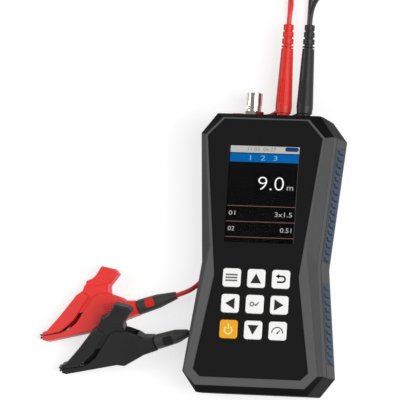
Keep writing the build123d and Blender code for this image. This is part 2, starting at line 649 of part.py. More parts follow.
def rear_plug(name):
    """Handle of the plug in the clip's collar, tapering to the lead, with its window insert."""
    stations = ((0.0, 4.35), (1.0, 4.5), (12.5, 4.15), (14.0, 3.9), (PLUG_LENGTHS[name], 2.25))
    with BuildPart() as handle:
        for (start, wide), (end, slim) in zip(stations, stations[1:]):
            with BuildSketch(plug_plane(name, start)):
                Circle(wide)
            with BuildSketch(plug_plane(name, end)):
                Circle(slim)
            loft(ruled=True)
        with BuildSketch(plug_plane(name, 0)):
            Circle(2.5)
        extrude(amount=-8)
        add(window_insert(name, 0.1), mode=Mode.SUBTRACT)
    return handle.part


def window_insert(name, grow):
    """Coloured square let into the plug's upper side."""
    across_plug, upward = plug_plane(name, 8.0), clip_plane(name).z_dir
    seat = Plane(origin=across_plug.origin + upward * 3.1, x_dir=across_plug.z_dir, z_dir=upward)
    with BuildPart() as insert:
        with BuildSketch(seat):
            RectangleRounded(5.6 + 2 * grow, 5.0 + 2 * grow, 0.8)
        extrude(amount=1.3 if grow == 0 else 4.0)
    return insert.part


# ======================================================================= test leads
def lead_tube(points, title):
    """Round tube along straight runs joined by arcs that fill the runs beside them."""
    path_points = [Vector(*point) for point in points]
    radii = []
    for before, corner, after in zip(path_points, path_points[1:], path_points[2:]):
        run_in, run_out = corner - before, after - corner
        half_turn = radians(run_in.get_angle(run_out)) / 2
        shorter = min(run_in.length, run_out.length)
        radii.append(0.45 * shorter / tan(half_turn))
    with BuildPart() as tube:
        with BuildLine():
            route = FilletPolyline(*path_points, radius=radii)
        with BuildSketch(Plane(origin=route @ 0, z_dir=route % 0)):
            Circle(LEAD / 2)
        sweep()
    section = pi * LEAD ** 2 / 4
    print(title, "length", round(route.length, 1), "volume share",
          round(tube.part.volume / (section * route.length), 4), "radii",
          [round(radius, 1) for radius in radii])
    return tube.part


def lead_coil(x):
    """Outer shape of the wound-up rest of a lead."""
    half_width = COIL_REACH + LEAD / 2 + 0.05
    height = COIL_TOP_Z + LEAD / 2 + 0.1
    with BuildPart() as coil:
        with BuildSketch(Plane.XZ.offset(-COIL_Y)):
            with Locations((x + COIL_RADIUS, height / 2)):
                RectangleRounded(2 * half_width, height, 1.3)
        revolve(axis=Axis((x, COIL_Y, 0), (0, 0, 1)))
    return coil.part


RED_COIL_X = RED_RETURN_X - COIL_RADIUS - COIL_REACH
BLACK_COIL_X = BLACK_RETURN_X + COIL_RADIUS + COIL_REACH
COIL_EXIT_Y = COIL_Y - 7.8   # where the outermost turn leaves the coil's outline
STACK_Z = LEAD_Z + LEAD + 0.2


def lead_end(name):
    """Where a lead meets the rear plug, and the direction it leaves in."""
    plane = plug_plane(name, PLUG_LENGTHS[name])
    return plane.origin, plane.z_dir


def lead_routes(name):
    """Hand-laid routes of a lead: from the meter's plug to the coil, and on to the clip."""
    end, out = lead_end(name)
    if name == "red":
        front = [(RED_X, BOOT_END_Y, CONNECTOR_Z), (RED_X, 142.4, CONNECTOR_Z), (4.9, 148.8, 13.0),
                 (3.4, 154.6, 10.5), (-1.8, 157.7, 7.9), (-6.9, 158.5, 6.0), (-11.1, 158.2, 4.9)]
        rear = [(RED_RETURN_X, COIL_EXIT_Y, 1.7), (0.3, 141.0, LEAD_Z), (-0.5, 112.0, LEAD_Z),
                (-0.2, 97.5, 1.8), (-0.4, 89.3, 3.2), (-6.0, 83.6, STACK_Z), (-16.5, 83.2, STACK_Z),
                (-29.6, 84.0, STACK_Z), (-37.8, 82.4, 3.4), (-45.6, 74.2, LEAD_Z),
                (-46.6, 63.5, LEAD_Z), (-44.8, 43.0, LEAD_Z), (-43.3, 21.0, LEAD_Z),
                (-40.7, 2.5, LEAD_Z), (-41.2, -7.4, LEAD_Z), (-43.9, -15.4, 2.2),
                (-49.0, -20.4, 4.0), tuple(end + out * 4.4), tuple(end)]
    else:
        front = [(BLACK_X, BOOT_END_Y, CONNECTOR_Z), (BLACK_X, 142.2, CONNECTOR_Z),
                 (17.8, 148.8, 12.6), (19.6, 155.2, 8.8), (24.1, 158.2, 5.3)]
        rear = [(BLACK_RETURN_X, COIL_EXIT_Y, 1.7), (12.6, 141.0, LEAD_Z), (13.3, 112.0, LEAD_Z),
                (12.9, 97.0, LEAD_Z), (12.9, 89.0, LEAD_Z), (7.2, 83.2, LEAD_Z),
                (-8.0, 82.9, LEAD_Z), (-22.0, 83.1, LEAD_Z), (-31.0, 83.4, LEAD_Z),
                (-35.6, 80.2, LEAD_Z), (-42.0, 72.2, LEAD_Z), (-42.8, 64.0, LEAD_Z),
                (-40.8, 43.0, LEAD_Z), (-39.4, 21.0, LEAD_Z), (-37.0, 4.0, LEAD_Z),
                (-37.6, -8.0, LEAD_Z), (-38.9, -19.5, 2.2), (-40.7, -31.0, 5.4),
                (-42.7, -40.6, 9.3), tuple(end + out * 4.4), tuple(end)]
    return front, rear


# ======================================================================= build and write
def main():
    """Build every piece and write its STEP file."""
    save(front_shell(), "front_shell")
    save(rear_shell(), "rear_shell")
    for side, side_name in ((-1, "left"), (1, "right")):
        for place, (low_y, high_y, ribs) in GRIP_SPANS.items():
            save(side_grip(side, low_y, high_y, ribs), f"grip_{side_name}_{place}")
    save(face_panel(), "face_panel")
    save(display_window(), "display_window")
    save(display_module(), "display_module")
    for name, x, y in key_centres():
        save(key_cap(x, y), name)
    save(key_mat(), "key_mat")
    save(main_board(), "main_board")
    save(board_screws(), "board_screws")
    save(case_screws(), "case_screws")
    save(battery(), "battery")
    save(charge_port(), "charge_port")

    body, insulator, contact, nut = coax_socket()
    save(body, "coax_body")
    save(insulator, "coax_insulator")
    save(contact, "coax_contact")
    save(nut, "coax_nut")

    for name, x, coil_x in (("red", RED_X, RED_COIL_X), ("black", BLACK_X, BLACK_COIL_X)):
        ring, sleeve = lead_socket(x)
        save(ring, f"{name}_socket")
        save(sleeve, f"{name}_socket_sleeve")
        handle, pin, boot = lead_plug(x)
        save(handle, f"{name}_plug_handle")
        save(pin, f"{name}_plug_pin")
        save(boot, f"{name}_plug_boot")
        front, rear = lead_routes(name)
        save(lead_tube(front, f"{name} lead, plug to coil"), f"{name}_lead_front")
        save(lead_coil(coil_x), f"{name}_lead_coil")
        save(lead_tube(rear, f"{name} lead, coil to clip"), f"{name}_lead_rear")
        save(clip_body(name), f"{name}_clip_body")
        save(clip_lever(name), f"{name}_clip_lever")
        low, high = clip_jaws(name)
        save(low, f"{name}_clip_lower_jaw")
        save(high, f"{name}_clip_upper_jaw")
        hinge_pin, spring = clip_hinge(name)
        save(hinge_pin, f"{name}_clip_pin")
        save(spring, f"{name}_clip_spring")
        save(rear_plug(name), f"{name}_clip_plug")
        save(window_insert(name, 0), f"{name}_clip_plug_window")
        plane = clip_plane(name)
        print(name, "clip hinge at", plane.from_local_coords((*CLIP_PIVOT, 0)), "axis", plane.z_dir)


main()
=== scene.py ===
"""Looks of a hand-held cable length counter and its two test leads.

Lengths are written in millimetres and turned into metres where a mesh or a point is placed.
The frame is the solids' own: X across the case, Y towards the connectors, Z out of the face.
"""

import logging
import math
from dataclasses import dataclass, field
from enum import Enum

import bmesh
import bpy
from mathutils import Matrix, Vector


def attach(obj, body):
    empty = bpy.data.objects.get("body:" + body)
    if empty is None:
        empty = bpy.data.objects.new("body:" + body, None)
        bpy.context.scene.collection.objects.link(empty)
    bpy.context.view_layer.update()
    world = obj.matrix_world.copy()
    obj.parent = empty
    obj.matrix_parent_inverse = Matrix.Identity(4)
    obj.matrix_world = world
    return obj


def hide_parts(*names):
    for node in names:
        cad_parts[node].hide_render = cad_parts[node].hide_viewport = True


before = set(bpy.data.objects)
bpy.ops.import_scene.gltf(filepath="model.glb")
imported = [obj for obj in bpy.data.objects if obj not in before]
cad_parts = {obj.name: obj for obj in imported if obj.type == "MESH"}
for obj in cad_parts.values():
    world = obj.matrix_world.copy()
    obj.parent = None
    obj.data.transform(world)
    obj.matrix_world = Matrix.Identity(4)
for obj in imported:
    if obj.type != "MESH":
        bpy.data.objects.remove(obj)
LOG = logging.getLogger("cable_length_counter")
MM = 0.001
CASE_BODY = "meter"

Point = tuple[float, float, float]
Colour = tuple[float, float, float]


class Side(Enum):
    """The two test leads, by colour."""

    RED = "red"
    BLACK = "black"


class Facing(Enum):
    """Which way an arrow key's triangle points, as a turn in degrees."""

    UP = 0.0
    LEFT = 90.0
    DOWN = 180.0
    RIGHT = 270.0


def metres(point: Point) -> Vector:
    """Return a point given in millimetres as a vector in metres."""
    return Vector(point) * MM


def linear(red: int, green: int, blue: int) -> Colour:
    """Turn a colour as seen on a screen into the linear colour that a shader takes.

    Args:
        red: red from 0 to 255.
        green: green from 0 to 255.
        blue: blue from 0 to 255.

    Returns:
        The linear red, green and blue.
    """
    shares = [value / 255 for value in (red, green, blue)]
    return tuple(s / 12.92 if s <= 0.04045 else ((s + 0.055) / 1.055) ** 2.4 for s in shares)


def preset(node: bpy.types.Node, values: dict[str | int, object]) -> None:
    """Set constant values on a node's own inputs, by name or number."""
    for key, value in values.items():
        node.inputs[key].default_value = value


# ---------------------------------------------------------------- shader node groups
class NodeDraft:
    """A shader node tree under construction."""

    tree: bpy.types.NodeTree

    def node(self, kind: str, **settings: object) -> bpy.types.Node:
        """Add a node and set its attributes."""
        made = self.tree.nodes.new(f"ShaderNode{kind}")
        for key, value in settings.items():
            setattr(made, key, value)
        return made

    def link(self, source: bpy.types.NodeSocket, target: bpy.types.NodeSocket) -> None:
        """Join two sockets."""
        self.tree.links.new(source, target)

    def wire(self, giver: bpy.types.Node, given: str, taker: bpy.types.Node,
             taken: str | int) -> None:
        """Join one node's output to another's input, by name or number."""
        self.link(giver.outputs[given], taker.inputs[taken])


class GroupDraft(NodeDraft):
    """A shader node group under construction."""

    def __init__(self, name: str) -> None:
        """Start an empty group with its input and output nodes."""
        self.tree = bpy.data.node_groups.new(name, "ShaderNodeTree")
        self.entry = self.tree.nodes.new("NodeGroupInput")
        self.exit = self.tree.nodes.new("NodeGroupOutput")

    def takes(self, name: str, kind: str, default: float | None = None) -> None:
        """Add a named input of a kind such as Float or Vector."""
        socket = self.tree.interface.new_socket(name, in_out="INPUT",
                                                socket_type=f"NodeSocket{kind}")
        if default is not None:
            socket.default_value = default

    def gives(self, name: str, kind: str) -> None:
        """Add a named output of a kind such as Float or Color."""
        self.tree.interface.new_socket(name, in_out="OUTPUT", socket_type=f"NodeSocket{kind}")


def grain_group() -> bpy.types.ShaderNodeTree:
    """Build the fine texture of moulded plastic.

    Returns:
        A group that takes Vector, Grain Scale and Mottle Scale, and gives Height and Mottle.
    """
    draft = GroupDraft("moulded_grain")
    draft.takes("Vector", "Vector")
    draft.takes("Grain Scale", "Float", 2500.0)
    draft.takes("Mottle Scale", "Float", 60.0)
    draft.gives("Height", "Float")
    draft.gives("Mottle", "Float")
    pits = draft.node("TexVoronoi", feature="SMOOTH_F1")
    fine = draft.node("TexNoise")
    fine.inputs["Detail"].default_value = 3.0
    coarse = draft.node("TexNoise")
    preset(coarse, {"Detail": 5.0, "Roughness": 0.6})
    both = draft.node("Math", operation="MULTIPLY_ADD")
    both.inputs[1].default_value = 0.5
    for texture in (pits, fine, coarse):
        draft.wire(draft.entry, "Vector", texture, "Vector")
    draft.wire(draft.entry, "Grain Scale", pits, "Scale")
    draft.wire(draft.entry, "Grain Scale", fine, "Scale")
    draft.wire(draft.entry, "Mottle Scale", coarse, "Scale")
    draft.wire(pits, "Distance", both, 0)
    draft.wire(fine, "Fac", both, 2)
    draft.wire(both, "Value", draft.exit, "Height")
    draft.wire(coarse, "Fac", draft.exit, "Mottle")
    return draft.tree


def handling_group() -> bpy.types.ShaderNodeTree:
    """Build faint smudges from use.

    Returns:
        A group that takes Vector, Base and Amount, and gives Roughness.
    """
    draft = GroupDraft("handling_marks")
    draft.takes("Vector", "Vector")
    draft.takes("Base", "Float", 0.5)
    draft.takes("Amount", "Float", 0.1)
    draft.gives("Roughness", "Float")
    smudge = draft.node("TexNoise")
    preset(smudge, {"Scale": 35.0, "Detail": 6.0})
    centred = draft.node("Math", operation="SUBTRACT")
    centred.inputs[1].default_value = 0.5
    shifted = draft.node("Math", operation="MULTIPLY_ADD", use_clamp=True)
    draft.wire(draft.entry, "Vector", smudge, "Vector")
    draft.wire(smudge, "Fac", centred, 0)
    draft.wire(centred, "Value", shifted, 0)
    draft.wire(draft.entry, "Amount", shifted, 1)
    draft.wire(draft.entry, "Base", shifted, 2)
    draft.wire(shifted, "Value", draft.exit, "Roughness")
    return draft.tree


def edge_group() -> bpy.types.ShaderNodeTree:
    """Build a mask of sharp edges, where materials lay edge wear, painted highlights, painted
    glints and painted shade lines.

    Returns:
        A group that takes Width in metres and gives Mask, 1 on a sharp edge and 0 on a flat.
    """
    draft = GroupDraft("edge_catch")
    draft.takes("Width", "Float", 0.0004)
    draft.gives("Mask", "Float")
    rounded = draft.node("Bevel", samples=4)
    surface = draft.node("NewGeometry")
    facing = draft.node("VectorMath", operation="DOT_PRODUCT")
    edge = draft.node("MapRange")
    preset(edge, {"From Min": 1.0, "From Max": 0.9})
    draft.wire(draft.entry, "Width", rounded, "Radius")
    draft.wire(rounded, "Normal", facing, 0)
    draft.wire(surface, "Normal", facing, 1)
    draft.wire(facing, "Value", edge, "Value")
    draft.wire(edge, "Result", draft.exit, "Mask")
    return draft.tree


class Groups:
    """The shared node groups, built once."""

    grain: bpy.types.ShaderNodeTree
    handling: bpy.types.ShaderNodeTree
    edge: bpy.types.ShaderNodeTree

    @classmethod
    def build(cls) -> None:
        """Make every group."""
        cls.grain = grain_group()
        cls.handling = handling_group()
        cls.edge = edge_group()


class MaterialDraft(NodeDraft):
    """A material under construction round one Principled shader."""

    def __init__(self, name: str) -> None:
        """Start a material with its shader, output and Object coordinates."""
        self.material = bpy.data.materials.new(name)
        self.material.use_nodes = True
        self.tree = self.material.node_tree
        self.tree.nodes.clear()
        self.output = self.tree.nodes.new("ShaderNodeOutputMaterial")
        self.shader = self.tree.nodes.new("ShaderNodeBsdfPrincipled")
        self.link(self.shader.outputs["BSDF"], self.output.inputs["Surface"])
        coordinates = self.tree.nodes.new("ShaderNodeTexCoord")
        self.place = coordinates.outputs["Object"]
        self.facing = coordinates.outputs["Normal"]

    def group(self, tree: bpy.types.ShaderNodeTree, **values: float) -> bpy.types.Node:
        """Place a shared group, join its Vector to Object coordinates and set its values."""
        made = self.tree.nodes.new("ShaderNodeGroup")
        made.node_tree = tree
        if "Vector" in made.inputs:
            self.link(self.place, made.inputs["Vector"])
        for key, value in values.items():
            made.inputs[key.replace("_", " ").title()].default_value = value
        return made

    def plain(self, **values: float | Colour) -> None:
        """Set constant values on the shader's own sockets."""
        for key, value in values.items():
            socket = self.shader.inputs[key.replace("_", " ").title().replace("Ior", "IOR")]
            if socket.type == "RGBA" and len(value) == 3:
                value = (*value, 1.0)
            socket.default_value = value

    def varied_colour(self, colour: Colour, spread: float,
                      mask: bpy.types.NodeSocket) -> bpy.types.NodeSocket:
        """Mix a colour from a little darker to a little lighter by a mask.

        Args:
            colour: the middle colour, linear.
            spread: share by which it darkens and lightens.
            mask: a value from 0 to 1 over the surface.

        Returns:
            The colour socket, not yet joined to the shader.
        """
        mix = self.node("Mix", data_type="RGBA")
        preset(mix, {"A": (*[c * (1 - spread) for c in colour], 1.0),
                     "B": (*[min(1.0, c * (1 + spread)) for c in colour], 1.0)})
        self.link(mask, mix.inputs["Factor"])
        return mix.outputs["Result"]

    def mixed(self, base: bpy.types.NodeSocket, over: bpy.types.NodeSocket | Colour,
              mask: bpy.types.NodeSocket) -> bpy.types.NodeSocket:
        """Lay one colour over another by a mask.

        Args:
            base: the colour where the mask is 0.
            over: the colour where the mask is 1, a socket or a constant.
            mask: a value from 0 to 1 over the surface.

        Returns:
            The colour socket, not yet joined to the shader.
        """
        mix = self.node("Mix", data_type="RGBA")
        if isinstance(over, bpy.types.NodeSocket):
            self.link(over, mix.inputs["B"])
        else:
            mix.inputs["B"].default_value = (*over, 1.0)
        self.link(base, mix.inputs["A"])
        self.link(mask, mix.inputs["Factor"])
        return mix.outputs["Result"]

    def scaled(self, mask: bpy.types.NodeSocket, factor: float) -> bpy.types.NodeSocket:
        """Weaken a mask by a factor."""
        product = self.node("Math", operation="MULTIPLY")
        product.inputs[1].default_value = factor
        self.link(mask, product.inputs[0])
        return product.outputs["Value"]

    def coloured(self, colour: bpy.types.NodeSocket) -> None:
        """Feed a colour into the shader's base colour."""
        self.link(colour, self.shader.inputs["Base Color"])

    def smudged(self, roughness: float, amount: float) -> None:
        """Give the shader a roughness that smudges from handling vary."""
        marks = self.group(Groups.handling, base=roughness, amount=amount)
        self.wire(marks, "Roughness", self.shader, "Roughness")

    def bump(self, height: bpy.types.NodeSocket, strength: float, distance: float) -> None:
        """Feed a height into the shader's normal through a Bump node."""
        bump = self.node("Bump")
        preset(bump, {"Strength": strength, "Distance": distance})
        self.link(height, bump.inputs["Height"])
        self.link(bump.outputs["Normal"], self.shader.inputs["Normal"])


# ---------------------------------------------------------------- finishes
@dataclass(frozen=True)
class Moulding:
    """Moulded plastic with a fine grain, a little colour variation and lighter sharp edges, partly
    edge wear and partly painted highlight.
    """

    name: str
    colour: Colour
    roughness: float = 0.5
    grain_scale: float = 2500.0
    grain_depth: float = 0.00002
    spread: float = 0.06
    edge_lift: float = 0.25
    coat: float = 0.0
    gloss: float = 0.5

    def make(self) -> bpy.types.Material:
        """Build the material."""
        draft = MaterialDraft(self.name)
        draft.plain(coat_weight=self.coat, coat_roughness=0.12, specular_ior_level=self.gloss)
        draft.smudged(self.roughness, 0.18)
        grain = draft.group(Groups.grain, grain_scale=self.grain_scale, mottle_scale=70.0)
        edge = draft.group(Groups.edge, width=0.0003)
        body = draft.varied_colour(self.colour, self.spread, grain.outputs["Mottle"])
        # Lighter sharp edges: partly edge wear, partly painted highlight.
        lifted = [min(1.0, c * (1 + self.edge_lift) + 0.01 * self.edge_lift) for c in self.colour]
        draft.coloured(draft.mixed(body, lifted, edge.outputs["Mask"]))
        draft.bump(grain.outputs["Height"], 0.35, self.grain_depth)
        return draft.material


@dataclass(frozen=True)
class CaseMoulding:
    """Grained case plastic, grey on the long sides; the paler upward flats of the rim are painted
    light, the near-black bevelled ends and the dark lines along sharp edges painted shade.
    """

    name: str
    rim: Colour
    sides: Colour
    ends: Colour
    roughness: float = 0.62
    gloss: float = 0.25
    end_gloss: float = 0.06
    edge_shade_line: float = 0.8
    flat_from: float = 0.9
    end_from: float = 0.3
    softness: float = 0.04
    spread: float = 0.08

    def step(self, draft: MaterialDraft, value: bpy.types.NodeSocket,
             threshold: float) -> bpy.types.NodeSocket:
        """Give 1 where a value is above a threshold and 0 elsewhere, with a soft change."""
        ramp = draft.node("MapRange")
        preset(ramp, {"From Min": threshold - self.softness,
                      "From Max": threshold + self.softness})
        draft.link(value, ramp.inputs["Value"])
        return ramp.outputs["Result"]

    def make(self) -> bpy.types.Material:
        """Build the material."""
        draft = MaterialDraft(self.name)
        draft.smudged(self.roughness, 0.18)
        grain = draft.group(Groups.grain, grain_scale=1300.0, mottle_scale=90.0)
        edge = draft.group(Groups.edge, width=0.0008)
        normal = draft.node("SeparateXYZ")
        along = draft.node("Math", operation="ABSOLUTE")
        draft.link(draft.facing, normal.inputs["Vector"])
        draft.wire(normal, "Y", along, 0)
        # Painted light and shade by facing: faces looking up take the paler rim colour, faces
        # looking along Y take the near-black end colour.
        is_end = self.step(draft, along.outputs["Value"], self.end_from)
        is_flat = self.step(draft, normal.outputs["Z"], self.flat_from)
        rim, sides, ends = (draft.varied_colour(colour, self.spread, grain.outputs["Mottle"])
                            for colour in (self.rim, self.sides, self.ends))
        whole = draft.mixed(draft.mixed(sides, ends, is_end), rim, is_flat)
        # Painted shade: dark lines along sharp edges, in the end colour.
        line = draft.scaled(edge.outputs["Mask"], self.edge_shade_line)
        draft.coloured(draft.mixed(whole, self.ends, line))
        shine = draft.node("MapRange")
        preset(shine, {"To Min": self.gloss, "To Max": self.end_gloss})
        draft.link(is_end, shine.inputs["Value"])
        draft.wire(shine, "Result", draft.shader, "Specular IOR Level")
        draft.bump(grain.outputs["Height"], 0.5, 0.00006)
        return draft.material


@dataclass(frozen=True)
class SoftRubber:
    """Soft grip rubber or silicone, dull, with pale dust in blotches."""

    name: str
    colour: Colour
    dust: Colour
    roughness: float = 0.75

    def make(self) -> bpy.types.Material:
        """Build the material."""
        draft = MaterialDraft(self.name)
        draft.plain(sheen_weight=0.02, sheen_roughness=0.4, specular_ior_level=0.2)
        draft.smudged(self.roughness, 0.2)
        grain = draft.group(Groups.grain, grain_scale=1800.0, mottle_scale=160.0)
        body = draft.varied_colour(self.colour, 0.18, grain.outputs["Mottle"])
        speck = draft.node("MapRange")
        preset(speck, {"From Min": 0.55, "From Max": 0.85, "To Max": 0.35})
        draft.wire(grain, "Mottle", speck, "Value")
        draft.coloured(draft.mixed(body, self.dust, speck.outputs["Result"]))
        draft.bump(grain.outputs["Height"], 0.5, 0.00004)
        return draft.material


@dataclass(frozen=True)
class Plating:
    """Plated or plain metal with fine turning or brushing lines along one axis."""

    name: str
    colour: Colour
    roughness: float = 0.2
    lines: tuple[float, float, float] = (3000.0, 60.0, 3000.0)
    wear_and_glint: float = 0.0
    bare_and_glint: Colour = (0.8, 0.8, 0.79)

    def make(self) -> bpy.types.Material:
        """Build the material."""
        draft = MaterialDraft(self.name)
        draft.plain(metallic=1.0)
        draft.smudged(self.roughness, 0.16)
        stretch = draft.node("Mapping")
        stretch.inputs["Scale"].default_value = self.lines
        brushed = draft.node("TexNoise")
        preset(brushed, {"Scale": 1.0, "Detail": 2.0})
        draft.link(draft.place, stretch.inputs["Vector"])
        draft.wire(stretch, "Vector", brushed, "Vector")
        # Sharp edges mix towards pale metal: partly bare metal from wear, partly painted glint.
        edge = draft.group(Groups.edge, width=0.0003)
        body = draft.varied_colour(self.colour, 0.08, brushed.outputs["Fac"])
        wear_and_glint_mask = draft.scaled(edge.outputs["Mask"], self.wear_and_glint)
        draft.coloured(draft.mixed(body, self.bare_and_glint, wear_and_glint_mask))
        draft.bump(brushed.outputs["Fac"], 0.15, 0.00001)
        return draft.material


@dataclass(frozen=True)
class Sheath:
    """Flexible sheath of a test lead: smooth, waxy, faintly uneven."""

    name: str
    colour: Colour

    def make(self) -> bpy.types.Material:
        """Build the material."""
        draft = MaterialDraft(self.name)
        draft.plain(coat_weight=0.2, coat_roughness=0.3)
        draft.smudged(0.42, 0.25)
        grain = draft.group(Groups.grain, grain_scale=900.0, mottle_scale=220.0)
        body = draft.varied_colour(self.colour, 0.1, grain.outputs["Mottle"])
        draft.coloured(body)
        draft.bump(grain.outputs["Height"], 0.25, 0.00003)
        return draft.material


@dataclass(frozen=True)
class PrintedInk:
    """Screen-printed ink, a little uneven in its cover."""

    name: str
    colour: Colour
    roughness: float = 0.55

    def make(self) -> bpy.types.Material:
        """Build the material."""
        draft = MaterialDraft(self.name)
        draft.plain(roughness=self.roughness)
        grain = draft.group(Groups.grain, grain_scale=4000.0, mottle_scale=900.0)
        body = draft.varied_colour(self.colour, 0.12, grain.outputs["Mottle"])
        draft.coloured(body)
        draft.bump(grain.outputs["Height"], 0.2, 0.00001)
        return draft.material


@dataclass(frozen=True)
class LitGraphic:
    """Lit part of the screen: a fine speckle over an even glow."""

    name: str
    colour: Colour
    glow: float = 1.0

    def make(self) -> bpy.types.Material:
        """Build the material."""
        draft = MaterialDraft(self.name)
        draft.plain(base_color=(0.0, 0.0, 0.0), roughness=0.4, emission_strength=self.glow,
                    specular_ior_level=0.0)
        speckle = draft.node("TexNoise")
        speckle.inputs["Scale"].default_value = 5200.0
        lit = draft.varied_colour(self.colour, 0.06, speckle.outputs["Fac"])
        draft.link(lit, draft.shader.inputs["Emission Color"])
        return draft.material


@dataclass(frozen=True)
class ClearPane:
    """Clear pane over the screen, with faint wipe marks."""

    name: str

    def make(self) -> bpy.types.Material:
        """Build the material."""
        draft = MaterialDraft(self.name)
        draft.plain(base_color=(1.0, 1.0, 1.0), ior=1.12, transmission_weight=1.0)
        draft.smudged(0.03, 0.06)
        return draft.material


@dataclass(frozen=True)
class SolderMask:
    """Circuit board: solder mask with tracks that show through it."""

    name: str
    colour: Colour

    def make(self) -> bpy.types.Material:
        """Build the material."""
        draft = MaterialDraft(self.name)
        draft.plain(coat_weight=0.4, coat_roughness=0.2)
        tracks = draft.node("TexBrick")
        preset(tracks, {"Scale": 160.0, "Mortar Size": 0.08, "Color1": (*self.colour, 1.0),
                        "Color2": (*[c * 0.8 for c in self.colour], 1.0),
                        "Mortar": (*[min(1, c * 1.9) for c in self.colour], 1.0)})
        draft.link(draft.place, tracks.inputs["Vector"])
        draft.coloured(tracks.outputs["Color"])
        draft.smudged(0.4, 0.15)
        draft.bump(tracks.outputs["Fac"], 0.3, 0.00003)
        return draft.material


class Finishes:
    """Every material of the counter and its leads, built once."""

    def __init__(self) -> None:
        """Build the node groups and the materials."""
        Groups.build()
        # Rim colour: painted light on the upward flats; end colour: painted shade on the ends.
        self.case = CaseMoulding("case_plastic", linear(88, 88, 88), linear(66, 66, 66),
                                 linear(14, 14, 15)).make()
        self.grip = SoftRubber("grip_rubber", linear(62, 76, 96), linear(88, 100, 116)).make()
        # Painted shade: dark navy for the hooks where the grip's teeth cast shadow.
        self.grip_hook_shade = SoftRubber("grip_hook_shade_rubber", linear(6, 14, 32),
                                    linear(24, 36, 56)).make()
        self.face = Moulding("face_plastic", linear(20, 20, 21), roughness=0.55,
                             grain_scale=3200.0, grain_depth=0.00001, spread=0.04,
                             edge_lift=0.2, gloss=0.12).make()
        self.pane = ClearPane("window_glass").make()
        self.screen = Moulding("display_screen", linear(6, 6, 7), grain_scale=4000.0,
                               grain_depth=0.000001, spread=0.3, edge_lift=0.0,
                               gloss=0.05).make()
        self.key = Moulding("key_plastic", linear(246, 246, 245), roughness=0.55,
                            grain_scale=2600.0, grain_depth=0.00001, spread=0.02,
                            edge_lift=0.0).make()
        self.amber_key = Moulding("amber_key_plastic", linear(240, 168, 22),
                                  grain_scale=2600.0, grain_depth=0.00001, spread=0.05,
                                  edge_lift=0.1).make()
        self.mat = SoftRubber("mat_rubber", linear(90, 90, 92), linear(120, 120, 120)).make()
        self.board = SolderMask("board", linear(18, 96, 48)).make()
        self.steel = Plating("steel", linear(190, 190, 188), roughness=0.3).make()
        # Jaw steel: its pale sharp edges are partly wear and partly painted glint on the teeth.
        self.jaw_steel = Plating("jaw_steel", linear(84, 84, 84), roughness=0.35,
                                 wear_and_glint=0.8).make()
        self.nickel = Plating("nickel", linear(214, 212, 206), roughness=0.14).make()
        self.brass = Plating("contact_brass", linear(226, 186, 110)).make()
        self.insulator = Moulding("insulator_plastic", linear(228, 226, 216),
                                  roughness=0.45).make()
        self.cell = Moulding("cell_wrap", linear(70, 92, 140), roughness=0.35).make()
        self.dark_print = PrintedInk("dark_print", linear(22, 22, 22)).make()
        self.grey_print = PrintedInk("grey_print", linear(96, 96, 96)).make()
        self.yellow_print = PrintedInk("yellow_print", linear(255, 226, 130)).make()
        self.lit_white = LitGraphic("lit_white", linear(248, 248, 248)).make()
        self.lit_grey = LitGraphic("lit_grey", linear(188, 188, 184)).make()
        self.lit_dim = LitGraphic("lit_dim", linear(120, 120, 122)).make()
        self.lit_blue = LitGraphic("lit_blue", linear(4, 96, 168)).make()
        self.lit_deep_blue = LitGraphic("lit_deep_blue", linear(18, 62, 112)).make()
        self.lit_pale_blue = LitGraphic("lit_pale_blue", linear(120, 178, 222)).make()
        self.lit_edge = LitGraphic("lit_edge", linear(60, 60, 64)).make()
        self.lit_rose = LitGraphic("lit_rose", linear(128, 92, 82)).make()
        self.tie = Moulding("tie_plastic", linear(40, 40, 42)).make()
        self.plug_grey = Moulding("clip_plug_plastic", linear(56, 57, 54), grain_scale=2200.0,
                                  grain_depth=0.00003, edge_lift=0.3).make()
        self.shell = {
            Side.RED: Moulding("red_plug_plastic", linear(218, 40, 30), roughness=0.4,
                               grain_scale=2600.0, grain_depth=0.00001, spread=0.05,
                               edge_lift=0.1, gloss=0.35).make(),
            Side.BLACK: Moulding("black_plug_plastic", linear(34, 34, 34), roughness=0.4,
                                 grain_scale=2600.0, grain_depth=0.00001, spread=0.05,
                                 edge_lift=0.3, gloss=0.3).make(),
        }
        self.clip = {
            Side.RED: Moulding("red_clip_plastic", linear(240, 52, 46), roughness=0.42,
                               grain_scale=2200.0, grain_depth=0.00003, spread=0.05,
                               edge_lift=0.1, coat=0.1).make(),
            Side.BLACK: Moulding("black_clip_plastic", linear(40, 40, 40), roughness=0.42,
                                 grain_scale=2200.0, grain_depth=0.00003, spread=0.05,
                                 edge_lift=0.35, gloss=0.35).make(),
        }
        self.sheath = {
            Side.RED: Sheath("red_lead_sheath", linear(226, 52, 44)).make(),
            Side.BLACK: Sheath("black_lead_sheath", linear(34, 34, 34)).make(),
        }


# ---------------------------------------------------------------- pieces
def dress(node: str, material: bpy.types.Material) -> None:
    """Give a solid of the frame its material and report it."""
    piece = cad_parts[node]
    if not piece.material_slots:
        piece.data.materials.append(material)
    for slot in piece.material_slots:
        slot.material = material
    LOG.info("solid %s wears %s", node, material.name)


